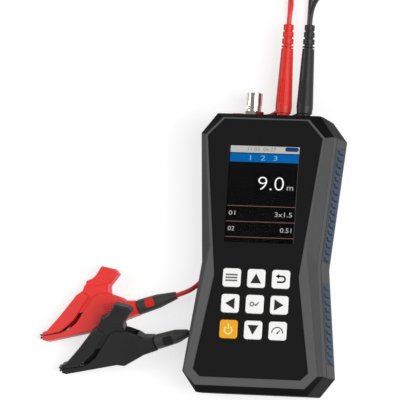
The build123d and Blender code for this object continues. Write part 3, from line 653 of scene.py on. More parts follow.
def finish_piece(name: str, mesh: bmesh.types.BMesh, material: bpy.types.Material,
                 body: str = CASE_BODY) -> bpy.types.Object:
    """Turn a bmesh in millimetres into a piece that rides on a body.

    Args:
        name: the piece's name.
        mesh: its shape, in millimetres, freed here.
        material: its material.
        body: the body that it moves with.

    Returns:
        The new piece.
    """
    bmesh.ops.scale(mesh, vec=(MM, MM, MM), verts=mesh.verts)
    bmesh.ops.recalc_face_normals(mesh, faces=mesh.faces)
    data = bpy.data.meshes.new(name)
    mesh.to_mesh(data)
    mesh.free()
    data.materials.append(material)
    piece = bpy.data.objects.new(name, data)
    bpy.context.scene.collection.objects.link(piece)
    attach(piece, body)
    LOG.info("piece %s rides on %s", name, body)
    return piece


def raised(mesh: bmesh.types.BMesh, faces: list[bmesh.types.BMFace], height: float) -> None:
    """Turn flat faces into a closed relief of a height, in the mesh's own units."""
    made = bmesh.ops.extrude_face_region(mesh, geom=faces, use_keep_orig=True)
    tops = [part for part in made["geom"] if isinstance(part, bmesh.types.BMVert)]
    bmesh.ops.translate(mesh, vec=(0, 0, height), verts=tops)


@dataclass
class FlatMark:
    """Flat printed or lit marks that lie on one level, drawn with bmesh operators."""

    level: float
    height: float = 0.05
    mesh: bmesh.types.BMesh = field(default_factory=bmesh.new)

    def bar(self, centre: tuple[float, float], width: float, height: float,
            turn: float = 0.0) -> None:
        """Draw a rectangle turned by some degrees."""
        made = bmesh.ops.create_grid(self.mesh, x_segments=1, y_segments=1, size=0.5)
        self._place(made["verts"], centre, (width, height), turn)

    def triangle(self, centre: tuple[float, float], width: float, height: float,
                 facing: Facing) -> None:
        """Draw a triangle that points one way."""
        made = bmesh.ops.create_circle(self.mesh, cap_ends=True, segments=3, radius=1 / 3 ** 0.5)
        low = min(v.co.y for v in made["verts"])
        high = max(v.co.y for v in made["verts"])
        bmesh.ops.translate(self.mesh, vec=(0, -(low + high) / 2, 0), verts=made["verts"])
        self._place(made["verts"], centre, (width, height / (high - low)), facing.value)

    def disc(self, centre: tuple[float, float], radius: float) -> None:
        """Draw a filled circle."""
        made = bmesh.ops.create_circle(self.mesh, cap_ends=True, segments=24, radius=radius)
        self._place(made["verts"], centre, (1, 1), 0.0)

    def arc(self, centre: tuple[float, float], radius: float, stroke: float,
            start: float, sweep: float, stretch: tuple[float, float] = (1.0, 1.0)) -> None:
        """Draw a band along an arc.

        Args:
            centre: its middle.
            radius: radius of the band's middle.
            stroke: width of the band.
            start: angle it starts from, in degrees.
            sweep: angle it covers, in degrees.
            stretch: how much the arc is stretched along its own two axes before it is turned.
        """
        inner = self.mesh.verts.new((radius - stroke / 2, 0, 0))
        outer = self.mesh.verts.new((radius + stroke / 2, 0, 0))
        seed = self.mesh.edges.new((inner, outer))
        whole = abs(sweep) >= 360
        verts = {inner, outer}
        before = set(self.mesh.verts)
        bmesh.ops.spin(self.mesh, geom=[inner, outer, seed], cent=(0, 0, 0), axis=(0, 0, 1),
                       angle=math.radians(sweep), steps=28, use_merge=whole)
        verts |= set(self.mesh.verts) - before
        self._place([v for v in verts if v.is_valid], centre, stretch, start)

    def _place(self, verts: list[bmesh.types.BMVert], centre: tuple[float, float],
               size: tuple[float, float], turn: float) -> None:
        """Scale, turn and move new flat geometry into its place."""
        bmesh.ops.scale(self.mesh, vec=(*size, 1), verts=verts)
        bmesh.ops.rotate(self.mesh, cent=(0, 0, 0), verts=verts,
                         matrix=Matrix.Rotation(math.radians(turn), 3, "Z"))
        bmesh.ops.translate(self.mesh, vec=(*centre, self.level), verts=verts)

    def build(self, name: str, material: bpy.types.Material, slot: str,
              body: str = CASE_BODY) -> bpy.types.Object:
        """Give the marks their thickness and make them a piece."""
        raised(self.mesh, list(self.mesh.faces), self.height)
        return finish_piece(name, self.mesh, material, body)


def figures(name: str, text: str, low: tuple[float, float], high: tuple[float, float],
            level: float, material: bpy.types.Material,
            thinned: float = 0.0) -> bpy.types.Object:
    """Make plain figures that lie on a level and fill a box.

    Args:
        name: the piece's name.
        text: the figures.
        low: lower left corner of the box in millimetres.
        high: upper right corner of the box in millimetres.
        level: level of their underside in millimetres.
        material: their material.
        thinned: how far the outlines are drawn in, for figures ten units high.

    Returns:
        The new piece.
    """
    curve = bpy.data.curves.new(name, "FONT")
    curve.body = text
    curve.size = 10.0
    curve.extrude = 0.01
    curve.offset = -thinned
    curve.resolution_u = 4
    holder = bpy.data.objects.new(f"{name}_curve", curve)
    bpy.context.scene.collection.objects.link(holder)
    bpy.context.view_layer.update()
    flat = bpy.data.meshes.new_from_object(holder)
    bpy.data.objects.remove(holder)
    mesh = bmesh.new()
    mesh.from_mesh(flat)
    bmesh.ops.remove_doubles(mesh, verts=mesh.verts, dist=0.001)
    spots = [v.co for v in mesh.verts]
    left, right = min(p.x for p in spots), max(p.x for p in spots)
    bottom, top = min(p.y for p in spots), max(p.y for p in spots)
    stretch = ((high[0] - low[0]) / (right - left), (high[1] - low[1]) / (top - bottom))
    bmesh.ops.translate(mesh, vec=(-left, -bottom, curve.extrude), verts=mesh.verts)
    bmesh.ops.scale(mesh, vec=(*stretch, 1), verts=mesh.verts)
    bmesh.ops.translate(mesh, vec=(*low, level), verts=mesh.verts)
    return finish_piece(name, mesh, material)


def softened(node: str, material: bpy.types.Material, width: float,
             body: str = CASE_BODY) -> bpy.types.Object:
    """Stand a copy of a solid, with small rounded edges, in for it.

    Args:
        node: the solid's name.
        material: the copy's material.
        width: width of the rounded edges in millimetres.
        body: the body that it moves with.

    Returns:
        The new piece.
    """
    mesh = bmesh.new()
    mesh.from_mesh(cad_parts[node].data)
    bmesh.ops.remove_doubles(mesh, verts=mesh.verts, dist=0.000004)
    bmesh.ops.dissolve_limit(mesh, angle_limit=math.radians(1.0), verts=mesh.verts,
                             edges=mesh.edges)
    bmesh.ops.scale(mesh, vec=(1 / MM,) * 3, verts=mesh.verts)
    piece = finish_piece(f"soft_{node}", mesh, material, body)
    bevel = piece.modifiers.new("soft_edges", "BEVEL")
    bevel.width = width * MM
    bevel.segments = 2
    bevel.limit_method = "ANGLE"
    bevel.angle_limit = math.radians(25)
    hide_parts(node)
    return piece


# ---------------------------------------------------------------- studio
@dataclass(frozen=True)
class Lamp:
    """One square soft light: its place and side in millimetres, and its power in watts."""

    name: str
    place: Point
    size: float
    power: float


@dataclass
class Studio:
    """Camera, floor and soft lights."""

    eye: Point = (1504.0661, -365.0183, 4462.7785)
    right: tuple[float, float, float] = (0.9442707, 0.0638195, -0.3229239)
    down: tuple[float, float, float] = (0.0329466, -0.9944229, -0.1001877)
    ahead: tuple[float, float, float] = (-0.3275169, 0.0839651, -0.9411071)
    lens: float = 720.0
    sensor: float = 36.0
    sees_from: float = 0.1
    sees_to: float = 60.0
    floor_size: float = 9000.0
    floor_gap: float = 0.1
    floor_colour: Colour = (0.45, 0.45, 0.45)
    floor_lift: float = 0.66
    sky: float = 0.3
    lamps: tuple[Lamp, ...] = (Lamp("side", (2210, -390, 1300), 1400, 36),
                               Lamp("fill", (-2100, 300, 1500), 1200, 18),
                               Lamp("overhead", (1560, 0, 2080), 1200, 27))

    def place_camera(self) -> None:
        """Make the camera and take it into use."""
        data = bpy.data.cameras.new("camera")
        data.sensor_width = self.sensor
        data.lens = self.lens
        data.clip_start, data.clip_end = self.sees_from, self.sees_to
        camera = bpy.data.objects.new("camera", data)
        turn = Matrix((self.right, [-v for v in self.down], [-v for v in self.ahead])).transposed()
        camera.matrix_world = Matrix.Translation(metres(self.eye)) @ turn.to_4x4()
        bpy.context.scene.collection.objects.link(camera)
        bpy.context.scene.camera = camera

    def lay_floor(self) -> None:
        """Lay a plain pale floor under the object."""
        mesh = bmesh.new()
        bmesh.ops.create_grid(mesh, x_segments=2, y_segments=2, size=self.floor_size * MM / 2)
        data = bpy.data.meshes.new("floor")
        mesh.to_mesh(data)
        mesh.free()
        draft = MaterialDraft("floor_paper")
        draft.plain(roughness=0.9, specular_ior_level=0.1, emission_color=(1.0, 1.0, 1.0))
        speckle = draft.node("TexNoise")
        speckle.inputs["Scale"].default_value = 400.0
        tint = draft.varied_colour(self.floor_colour, 0.01, speckle.outputs["Fac"])
        draft.coloured(tint)
        path = draft.node("LightPath")
        seen = draft.node("Math", operation="ADD")
        mirrored = draft.node("Math", operation="ADD")
        lift = draft.node("Math", operation="MULTIPLY", use_clamp=True)
        lift.inputs[1].default_value = self.floor_lift
        draft.wire(path, "Is Camera Ray", seen, 0)
        draft.wire(path, "Is Glossy Ray", seen, 1)
        draft.wire(seen, "Value", mirrored, 0)
        draft.wire(path, "Is Transmission Ray", mirrored, 1)
        draft.wire(mirrored, "Value", lift, 0)
        draft.wire(lift, "Value", draft.shader, "Emission Strength")
        data.materials.append(draft.material)
        floor = bpy.data.objects.new("floor", data)
        floor.location.z = -self.floor_gap * MM
        bpy.context.scene.collection.objects.link(floor)

    def hang_light(self, lamp: Lamp) -> None:
        """Hang a lamp that looks at the counter."""
        data = bpy.data.lights.new(lamp.name, "AREA")
        data.size = lamp.size * MM
        data.energy = lamp.power
        light = bpy.data.objects.new(lamp.name, data)
        light.location = metres(lamp.place)
        light.rotation_mode = "QUATERNION"
        light.rotation_quaternion = (-metres(lamp.place)).to_track_quat("-Z", "Y")
        bpy.context.scene.collection.objects.link(light)

    def light(self) -> None:
        """Make the sky and hang the lights."""
        world = bpy.data.worlds.new("studio")
        world.use_nodes = True
        backdrop = world.node_tree.nodes["Background"]
        preset(backdrop, {"Color": (1.0, 1.0, 1.0, 1.0), "Strength": self.sky})
        bpy.context.scene.world = world
        bpy.context.scene.view_settings.view_transform = "Standard"
        for lamp in self.lamps:
            self.hang_light(lamp)

    def build(self) -> None:
        """Set the whole studio up."""
        self.place_camera()
        self.lay_floor()
        self.light()


# ---------------------------------------------------------------- leads
@dataclass
class LeadPath:
    """Where one lead runs: its bends near the plug, its wound coil, and its run to the clip."""

    side: Side
    start: list[Point]
    coil_centre: tuple[float, float]
    entry: float
    leave: float
    tie_angle: float
    run: list[Point]


@dataclass
class TestLead:
    """One test lead: one length of cable, with its spare wound up beyond the case's top end."""

    path: LeadPath
    finishes: Finishes
    diameter: float = 2.8
    length: float = 1000.0
    outer: float = 20.44
    inner: float = 9.24
    low: float = 1.8
    top: float = 4.7
    full_turns: int = 7
    drop: float = 120.0
    steps: int = 18
    tie_width: float = 3.0
    tie_wall: float = 0.35
    tie_inner: float = 10.2
    tie_outer: float = 19.3
    tie_rounding: float = 1.2
    head_length: float = 3.2
    head_overhang: float = 1.4
    head_height: float = 1.6
    head_rounding: float = 0.3
    head_lift: float = 0.6

    def turns(self) -> list[Point]:
        """Work out the coil: in on the upper layer, down, and out on the lower one.

        Returns:
            The points in order, in millimetres.
        """
        way = -1 if self.path.side is Side.RED else 1
        total = self.full_turns * 360 + (way * (self.path.leave - self.path.entry)) % 360
        inward = (total - self.drop) / 2
        count = round(total / 360 * self.steps)
        points = []
        for step in range(count):
            swept = total * step / count
            if swept < inward:
                radius = self.outer + (self.inner - self.outer) * swept / inward
                height = self.top
            elif swept < inward + self.drop:
                radius = self.inner
                height = self.top + (self.low - self.top) * (swept - inward) / self.drop
            else:
                radius = self.inner + (self.outer - self.inner) * (
                    swept - inward - self.drop) / inward
                height = self.low
            angle = math.radians(self.path.entry + way * swept)
            points.append((self.path.coil_centre[0] + radius * math.cos(angle),
                           self.path.coil_centre[1] + radius * math.sin(angle), height))
        return points

    def cable(self) -> bpy.types.Object:
        """Make the cable as one smooth spline along its whole way."""
        name = f"{self.path.side.value}_test_lead"
        curve = bpy.data.curves.new(name, "CURVE")
        curve.dimensions = "3D"
        curve.bevel_depth = self.diameter / 2 * MM
        curve.bevel_resolution = 5
        curve.resolution_u = 6
        curve.use_fill_caps = True
        points = [*self.path.start, *self.turns(), *self.path.run]
        spline = curve.splines.new("NURBS")
        spline.points.add(len(points) - 1)
        for spot, point in zip(spline.points, points):
            spot.co = (*metres(point), 1.0)
        spline.order_u = 3
        spline.use_endpoint_u = True
        curve.materials.append(self.finishes.sheath[self.path.side])
        piece = bpy.data.objects.new(name, curve)
        bpy.context.scene.collection.objects.link(piece)
        return piece

    def tie(self) -> bpy.types.Object:
        """Make the plastic tie that holds the coil's turns together."""
        side = self.path.side
        reach = self.diameter / 2 + self.tie_wall
        in_edge, out_edge = self.tie_inner - reach, self.tie_outer + reach
        low, high = self.low - reach, self.top + reach
        mesh = bmesh.new()
        made = bmesh.ops.create_cube(mesh, size=1.0)
        size = (out_edge - in_edge, self.tie_width, high - low)
        bmesh.ops.scale(mesh, vec=size, verts=made["verts"])
        long_edges = [edge for edge in mesh.edges
                      if abs((edge.verts[0].co - edge.verts[1].co).y) > self.tie_width / 2]
        bmesh.ops.bevel(mesh, geom=long_edges, offset=self.tie_rounding, segments=4,
                        profile=0.5, material=-1, affect="EDGES")
        ends = [face for face in mesh.faces if abs(face.normal.y) > 0.9]
        bmesh.ops.delete(mesh, geom=ends, context="FACES_ONLY")
        bmesh.ops.recalc_face_normals(mesh, faces=mesh.faces)
        bmesh.ops.solidify(mesh, geom=mesh.faces[:], thickness=self.tie_wall)
        band = set(mesh.verts)
        head = bmesh.ops.create_cube(mesh, size=1.0)
        head_size = (self.head_length, self.tie_width + self.head_overhang, self.head_height)
        bmesh.ops.scale(mesh, vec=head_size, verts=head["verts"])
        bmesh.ops.bevel(mesh, geom=list({e for v in head["verts"] for e in v.link_edges}),
                        offset=self.head_rounding, segments=2, profile=0.5, material=-1,
                        affect="EDGES")
        bmesh.ops.translate(mesh, vec=(0, 0, size[2] / 2 + self.head_lift),
                            verts=[v for v in mesh.verts if v not in band])
        bmesh.ops.translate(mesh, vec=((in_edge + out_edge) / 2, 0, (low + high) / 2),
                            verts=mesh.verts)
        bmesh.ops.rotate(mesh, cent=(0, 0, 0), verts=mesh.verts,
                         matrix=Matrix.Rotation(math.radians(self.path.tie_angle), 3, "Z"))
        bmesh.ops.translate(mesh, vec=(*self.path.coil_centre, 0), verts=mesh.verts)
        return finish_piece(f"{side.value}_coil_tie", mesh, self.finishes.tie)

    def build(self) -> None:
        side = self.path.side.value
        cable = self.cable()
        tie = self.tie()
        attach(cable, CASE_BODY)
        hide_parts(f"{side}_lead_front", f"{side}_lead_coil", f"{side}_lead_rear")
        LOG.info("cable %s_test_lead laid", side)


# ---------------------------------------------------------------- case and face
@dataclass
class MeterCase:
    """Two-part case with its screws and what lies inside."""

    finishes: Finishes

    def build(self) -> None:
        """Dress the shells and the inner parts."""
        for node in ("front_shell", "rear_shell"):
            dress(node, self.finishes.case)
        for node, material in (("main_board", self.finishes.board),
                               ("board_screws", self.finishes.steel),
                               ("case_screws", self.finishes.steel),
                               ("battery", self.finishes.cell),
                               ("charge_port", self.finishes.steel)):
            dress(node, material)


@dataclass(frozen=True)
class GripSpan:
    """One grip along a long side: where it runs, and the wall's half width at its far end."""

    name: str
    low_y: float
    high_y: float
    hooks: int
    far_back: tuple[float, float]
    far_wide: tuple[float, float]


@dataclass
class SideGrips:
    """Soft grips along the drafted side walls, each with a row of dark hooks that are painted
    shade of the grip's teeth.
    """

    finishes: Finishes
    low_z: float = 2.2
    high_z: float = 18.4
    wall_height: float = 20.6
    near_y: float = -6.0
    near_back: float = 34.4
    near_wide: float = 35.8
    depth: float = 0.9
    proud: float = 0.35
    hook_z: float = 12.0
    hook_reach: tuple[float, float] = (4.2, 1.3)
    stroke: float = 0.8
    leg: float = 5.0
    foot: float = 0.8
    rounding: float = 0.3
    hook_sunk: float = 0.05
    hook_height: float = 0.1
    spans: tuple[GripSpan, ...] = (
        GripSpan("upper", -2.0, 65.0, 17, (69.9, 40.6), (70.4, 41.2)),
        GripSpan("lower", -62.5, -15.0, 11, (-70.0, 42.2), (-70.5, 43.8)))

    def wall_x(self, span: GripSpan, y: float, z: float) -> float:
        """Return the wall's half width at a point of a grip."""
        back = self.near_back + (span.far_back[1] - self.near_back) * (
            y - self.near_y) / (span.far_back[0] - self.near_y)
        wide = self.near_wide + (span.far_wide[1] - self.near_wide) * (
            y - self.near_y) / (span.far_wide[0] - self.near_y)
        return back + (wide - back) * z / self.wall_height

    def wrap(self, mesh: bmesh.types.BMesh, span: GripSpan, way: int) -> None:
        """Lay a mesh drawn along the wall and up it onto the wall of one side."""
        for vert in mesh.verts:
            along, up, out = vert.co
            vert.co = (way * (self.wall_x(span, along, up) + out), along, up)

    def pad(self, span: GripSpan, side: str, way: int) -> None:
        """Make the soft pad in its pocket."""
        mark = FlatMark(-self.depth)
        middle = ((span.low_y + span.high_y) / 2, (self.low_z + self.high_z) / 2)
        mark.bar(middle, span.high_y - span.low_y, self.high_z - self.low_z)
        raised(mark.mesh, list(mark.mesh.faces), self.depth + self.proud)
        outer = [edge for edge in mark.mesh.edges
                 if all(vert.co.z > 0 for vert in edge.verts)]
        bmesh.ops.bevel(mark.mesh, geom=outer, offset=self.rounding, segments=3, profile=0.5,
                        material=-1, affect="EDGES")
        self.wrap(mark.mesh, span, way)
        piece = finish_piece(f"soft_grip_{side}_{span.name}", mark.mesh, self.finishes.grip)
        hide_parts(f"grip_{side}_{span.name}")

    def hooks(self, span: GripSpan, side: str, way: int) -> None:
        """Make the row of hooks as dark inlays in the pad, painted shadows of the grip's rounded
        teeth.
        """
        mark = FlatMark(self.proud - self.hook_sunk)
        pitch = (span.high_y - span.low_y) / span.hooks
        tall, wide = self.hook_reach
        for number in range(span.hooks):
            y = span.low_y + (number + 0.5) * pitch
            mark.arc((y, self.hook_z), 1.0, self.stroke, 90, 90, self.hook_reach)
            mark.bar((y - wide, self.hook_z - self.leg / 2), wide * self.stroke, self.leg)
            mark.bar((y + self.foot / 2, self.hook_z + tall), self.foot, tall * self.stroke)
        raised(mark.mesh, list(mark.mesh.faces), self.hook_height)
        self.wrap(mark.mesh, span, way)
        # Painted shadow: the dark hook inlays stand for the shade round the grip's teeth.
        finish_piece(f"grip_hook_shades_{side}_{span.name}", mark.mesh, self.finishes.grip_hook_shade)

    def build(self) -> None:
        """Make every grip."""
        for side, way in (("left", -1), ("right", 1)):
            for span in self.spans:
                self.pad(span, side, way)
                self.hooks(span, side, way)


@dataclass
class Display:
    """Colour screen behind a clear pane: a status bar, a title bar, a reading and two rows."""

    finishes: Finishes
    glass: float = 30.5
    under: float = 0.005
    edge_width: float = 0.35
    edge_inset: float = 0.2
    half_width: float = 21.3
    bottom: float = 6.5
    status: tuple[float, float] = (59.4, 63.4)
    title: tuple[float, float] = (53.9, 58.9)
    rules: tuple[float, ...] = (27.9, 18.7, 9.5)
    rule_width: float = 0.35
    layer: float = 0.03

    def band(self, name: str, low: float, high: float, material: bpy.types.Material) -> None:
        """Light a band across the whole screen."""
        mark = FlatMark(self.glass + self.under, self.layer - 2 * self.under)
        mark.bar((0, (low + high) / 2), 2 * self.half_width, high - low)
        mark.build(name, material, "display_screen")

    def lettering(self, name: str, text: str, low: tuple[float, float],
                  high: tuple[float, float], material: bpy.types.Material,
                  thinned: float = 0.05) -> None:
        """Light figures that fill a box, on top of the bands."""
        figures(name, text, low, high, self.glass + self.layer, material,
                thinned)

    def battery_sign(self) -> None:
        """Light the battery sign at the status bar's right end."""
        pill = FlatMark(self.glass + self.layer, 0.02)
        pill.bar((17.0, 61.9), 6.6, 2.5)
        pill.disc((13.7, 61.9), 1.25)
        pill.bar((20.6, 61.9), 0.7, 1.2)
        pill.build("battery_sign", self.finishes.lit_deep_blue, "display_screen")

    def build(self) -> None:
        """Dress the screen and the pane, and light the bars and figures."""
        dress("display_module", self.finishes.screen)
        dress("display_window", self.finishes.pane)
        self.band("status_bar", *self.status, self.finishes.lit_grey)
        self.band("title_bar", *self.title, self.finishes.lit_blue)
        for number, y in enumerate(self.rules, 1):
            self.band(f"rule_{number}", y - self.rule_width / 2, y + self.rule_width / 2,
                      self.finishes.lit_rose)
        self.battery_sign()
        edge = FlatMark(self.glass + self.under, self.layer - 2 * self.under)
        edge.bar((self.half_width - self.edge_inset, (self.bottom + self.status[0]) / 2),
                 self.edge_width, self.status[0] - self.bottom)
        edge.build("screen_edge", self.finishes.lit_edge, "display_screen")
        lit = self.finishes
        self.lettering("clock", "11 03  06:27", (-10.5, 60.5), (6.8, 62.6), lit.lit_dim)
        self.lettering("title_digits", "1  2  3", (-9.0, 55.0), (8.0, 57.9), lit.lit_pale_blue)
        self.lettering("reading", "9.0", (-3.0, 37.6), (13.0, 45.4), lit.lit_white, 0.16)
        self.lettering("unit", "m", (15.0, 37.8), (18.9, 40.0), lit.lit_grey)
        self.lettering("row_1_left", "01", (-20.0, 22.4), (-16.0, 24.9), lit.lit_grey)
        self.lettering("row_1_right", "3x1.5", (8.5, 22.0), (19.2, 24.7), lit.lit_grey)
        self.lettering("row_2_left", "02", (-20.0, 13.2), (-16.0, 15.7), lit.lit_grey)
        self.lettering("row_2_right", "0.51", (12.4, 12.8), (19.4, 15.5), lit.lit_grey)


@dataclass
class FacePlate:
    """Flat face plate in the rim."""

    finishes: Finishes

    def build(self) -> None:
        """Dress the plate."""
        dress("face_panel", self.finishes.face)


@dataclass
class Keypad:
    """Nine keys with printed signs on a rubber mat."""

    finishes: Finishes
    top: float = 32.3
    pitch: float = 15.2
    middle_y: float = -29.9
    edge: float = 0.25
    ink: float = 0.04

    def spot(self, column: int, row: int) -> tuple[float, float]:
        """Return the middle of the key in a column and row counted from the centre."""
        return (column * self.pitch, self.middle_y + row * self.pitch)

    def slot_of(self, key: str) -> str:
        """Return the material slot of a key."""
        return "power_key_plastic" if key == "key_power" else "key_plastic"

    def sign(self, key: str, mark: FlatMark, material: bpy.types.Material) -> None:
        """Print a finished sign on a key."""
        mark.build(f"{key}_sign", material, self.slot_of(key), key)

    def arrow(self, key: str, column: int, row: int, facing: Facing) -> None:
        """Print a triangle on a key."""
        mark = FlatMark(self.top, self.ink)
        mark.triangle(self.spot(column, row), 6.7, 5.8, facing)
        self.sign(key, mark, self.finishes.dark_print)

    def menu(self) -> None:
        """Print three bars, the general sign for a menu."""
        mark = FlatMark(self.top, self.ink)
        x, y = self.spot(-1, 1)
        for offset in (-1.7, 0.0, 1.7):
            mark.bar((x, y + offset), 7.4, 0.95)
        self.sign("key_menu", mark, self.finishes.grey_print)

    def back(self) -> None:
        """Print a hooked arrow, the general sign for going back."""
        mark = FlatMark(self.top, self.ink)
        x, y = self.spot(1, 1)
        mark.bar((x - 0.5, y + 1.7), 3.2, 1.1)
        mark.bar((x - 0.5, y - 1.7), 3.2, 1.1)
        mark.arc((x + 1.1, y), 1.7, 1.1, -90, 180)
        mark.triangle((x - 2.0, y + 1.7), 2.9, 2.2, Facing.LEFT)
        self.sign("key_back", mark, self.finishes.dark_print)

    def enter(self) -> None:
        """Print a ring and a tick, the general sign for accepting."""
        mark = FlatMark(self.top, self.ink)
        x, y = self.spot(0, 0)
        mark.arc((x - 1.5, y), 1.1, 0.7, 0, 360)
        mark.bar((x + 1.7, y + 0.1), 2.8, 0.7, 50)
        mark.bar((x + 0.6, y - 0.4), 1.3, 0.7, -45)
        self.sign("key_enter", mark, self.finishes.grey_print)

    def power(self) -> None:
        """Print the general sign for power."""
        mark = FlatMark(self.top, self.ink)
        x, y = self.spot(-1, -1)
        mark.arc((x, y - 0.5), 2.3, 0.95, 125, 290)
        mark.bar((x, y + 1.7), 0.95, 3.2)
        self.sign("key_power", mark, self.finishes.yellow_print)

    def gauge(self) -> None:
        """Print a dial with its needle."""
        mark = FlatMark(self.top, self.ink)
        x, y = self.spot(1, -1)
        mark.arc((x, y - 1.3), 3.4, 0.7, 0, 180)
        mark.bar((x + 0.8, y - 0.5), 2.6, 0.65, 45)
        mark.disc((x, y - 1.3), 0.55)
        self.sign("key_gauge", mark, self.finishes.grey_print)

    def build(self) -> None:
        """Dress the keys and the mat, and print the signs."""
        dress("key_mat", self.finishes.mat)
        for name in ("menu", "up", "back", "left", "enter", "right", "power", "down", "gauge"):
            amber = name == "power"
            key = f"key_{name}"
            softened(key, self.finishes.amber_key if amber else self.finishes.key,
                     self.edge, key)
        self.menu()
        self.arrow("key_up", 0, 1, Facing.UP)
        self.back()
        self.arrow("key_left", -1, 0, Facing.LEFT)
        self.enter()
        self.arrow("key_right", 1, 0, Facing.RIGHT)
        self.power()
        self.arrow("key_down", 0, -1, Facing.DOWN)
        self.gauge()


# ---------------------------------------------------------------- connectors and clips
@dataclass
class TopEnd:
    """Coax socket and the two sockets in the top wall."""

    finishes: Finishes

    def build(self) -> None:
        """Dress the sockets."""
        dress("coax_body", self.finishes.nickel)
        dress("coax_nut", self.finishes.nickel)
        dress("coax_insulator", self.finishes.insulator)
        dress("coax_contact", self.finishes.brass)
        for side in Side:
            dress(f"{side.value}_socket", self.finishes.shell[side])
            dress(f"{side.value}_socket_sleeve", self.finishes.nickel)


@dataclass
class FrontPlug:
    """Plug of one lead, in its socket, with a thumb rest on both sides of its handle."""

    side: Side
    finishes: Finishes
    axis_z: float = 14.0
    wide_y: float = 89.0
    end_y: float = 123.3
    wide_radius: float = 4.9
    end_radius: float = 3.55
    rest_low: float = 90.5
    rest_high: float = 103.0
    rest_half: float = 1.9
    rest_step: float = 1.25
    treads: int = 4
    tread_start: float = 2.0
    tread_pitch: float = 2.4
    tread_width: float = 2.0
    stroke: float = 0.55
    rise: float = 0.6
    axis_x: dict[Side, float] = field(default_factory=lambda: {Side.RED: 4.2,
                                                               Side.BLACK: 17.3})

    def thumb_rest(self, name: str, way: int) -> None:
        """Make the raised outline of a thumb rest on the upper or the lower side.

        Args:
            name: the piece's name.
            way: 1 for the upper side and -1 for the lower one.
        """
        mark = FlatMark(0.0)
        rows = round((self.rest_high - self.rest_low) / self.rest_step)
        for x in (-self.rest_half, self.rest_half):
            for row in range(rows):
                mark.bar((x, self.rest_low + (row + 0.5) * self.rest_step), self.stroke,
                         self.rest_step)
        mark.arc((0, self.rest_high), self.rest_half, self.stroke, 0, 180)
        for row in range(self.treads):
            mark.bar((0, self.rest_low + self.tread_start + self.tread_pitch * row),
                     self.tread_width, self.stroke)
        bmesh.ops.remove_doubles(mark.mesh, verts=mark.mesh.verts, dist=0.01)
        raised(mark.mesh, list(mark.mesh.faces), self.rise)
        taper = (self.wide_radius - self.end_radius) / (self.end_y - self.wide_y)
        for vert in mark.mesh.verts:
            x, y, out = vert.co
            radius = self.wide_radius - taper * (y - self.wide_y)
            level = math.sqrt(radius ** 2 - x ** 2) + out - self.rise / 4
            vert.co = (self.axis_x[self.side] + x, y, self.axis_z + way * level)
        finish_piece(name, mark.mesh, self.finishes.shell[self.side])

    def build(self) -> None:
        """Dress the plug and add its thumb rests."""
        side = self.side.value
        shell = self.finishes.shell[self.side]
        dress(f"{side}_plug_pin", self.finishes.nickel)
        dress(f"{side}_plug_handle", shell)
        dress(f"{side}_plug_boot", shell)
        self.thumb_rest(f"{side}_upper_thumb_rest", 1)
        self.thumb_rest(f"{side}_lower_thumb_rest", -1)


@dataclass(frozen=True)
class ClipPlace:
    """Where a clip lies: the tip of its jaws, its turn on the floor and its roll."""

    tip: Point
    turn: float
    roll: float

    def matrix(self) -> Matrix:
        """Return the clip's frame: x back from the jaws, y towards the lever, z out of a cheek."""
        turn, roll = math.radians(self.turn), math.radians(self.roll)
        back = Vector((math.cos(turn), math.sin(turn), 0))
        out = Vector((math.sin(turn) * math.sin(roll), -math.cos(turn) * math.sin(roll),
                      math.cos(roll)))
        up = out.cross(back)
        rows = Matrix((back, up, out)).transposed().to_4x4()
        return Matrix.Translation(self.tip) @ rows


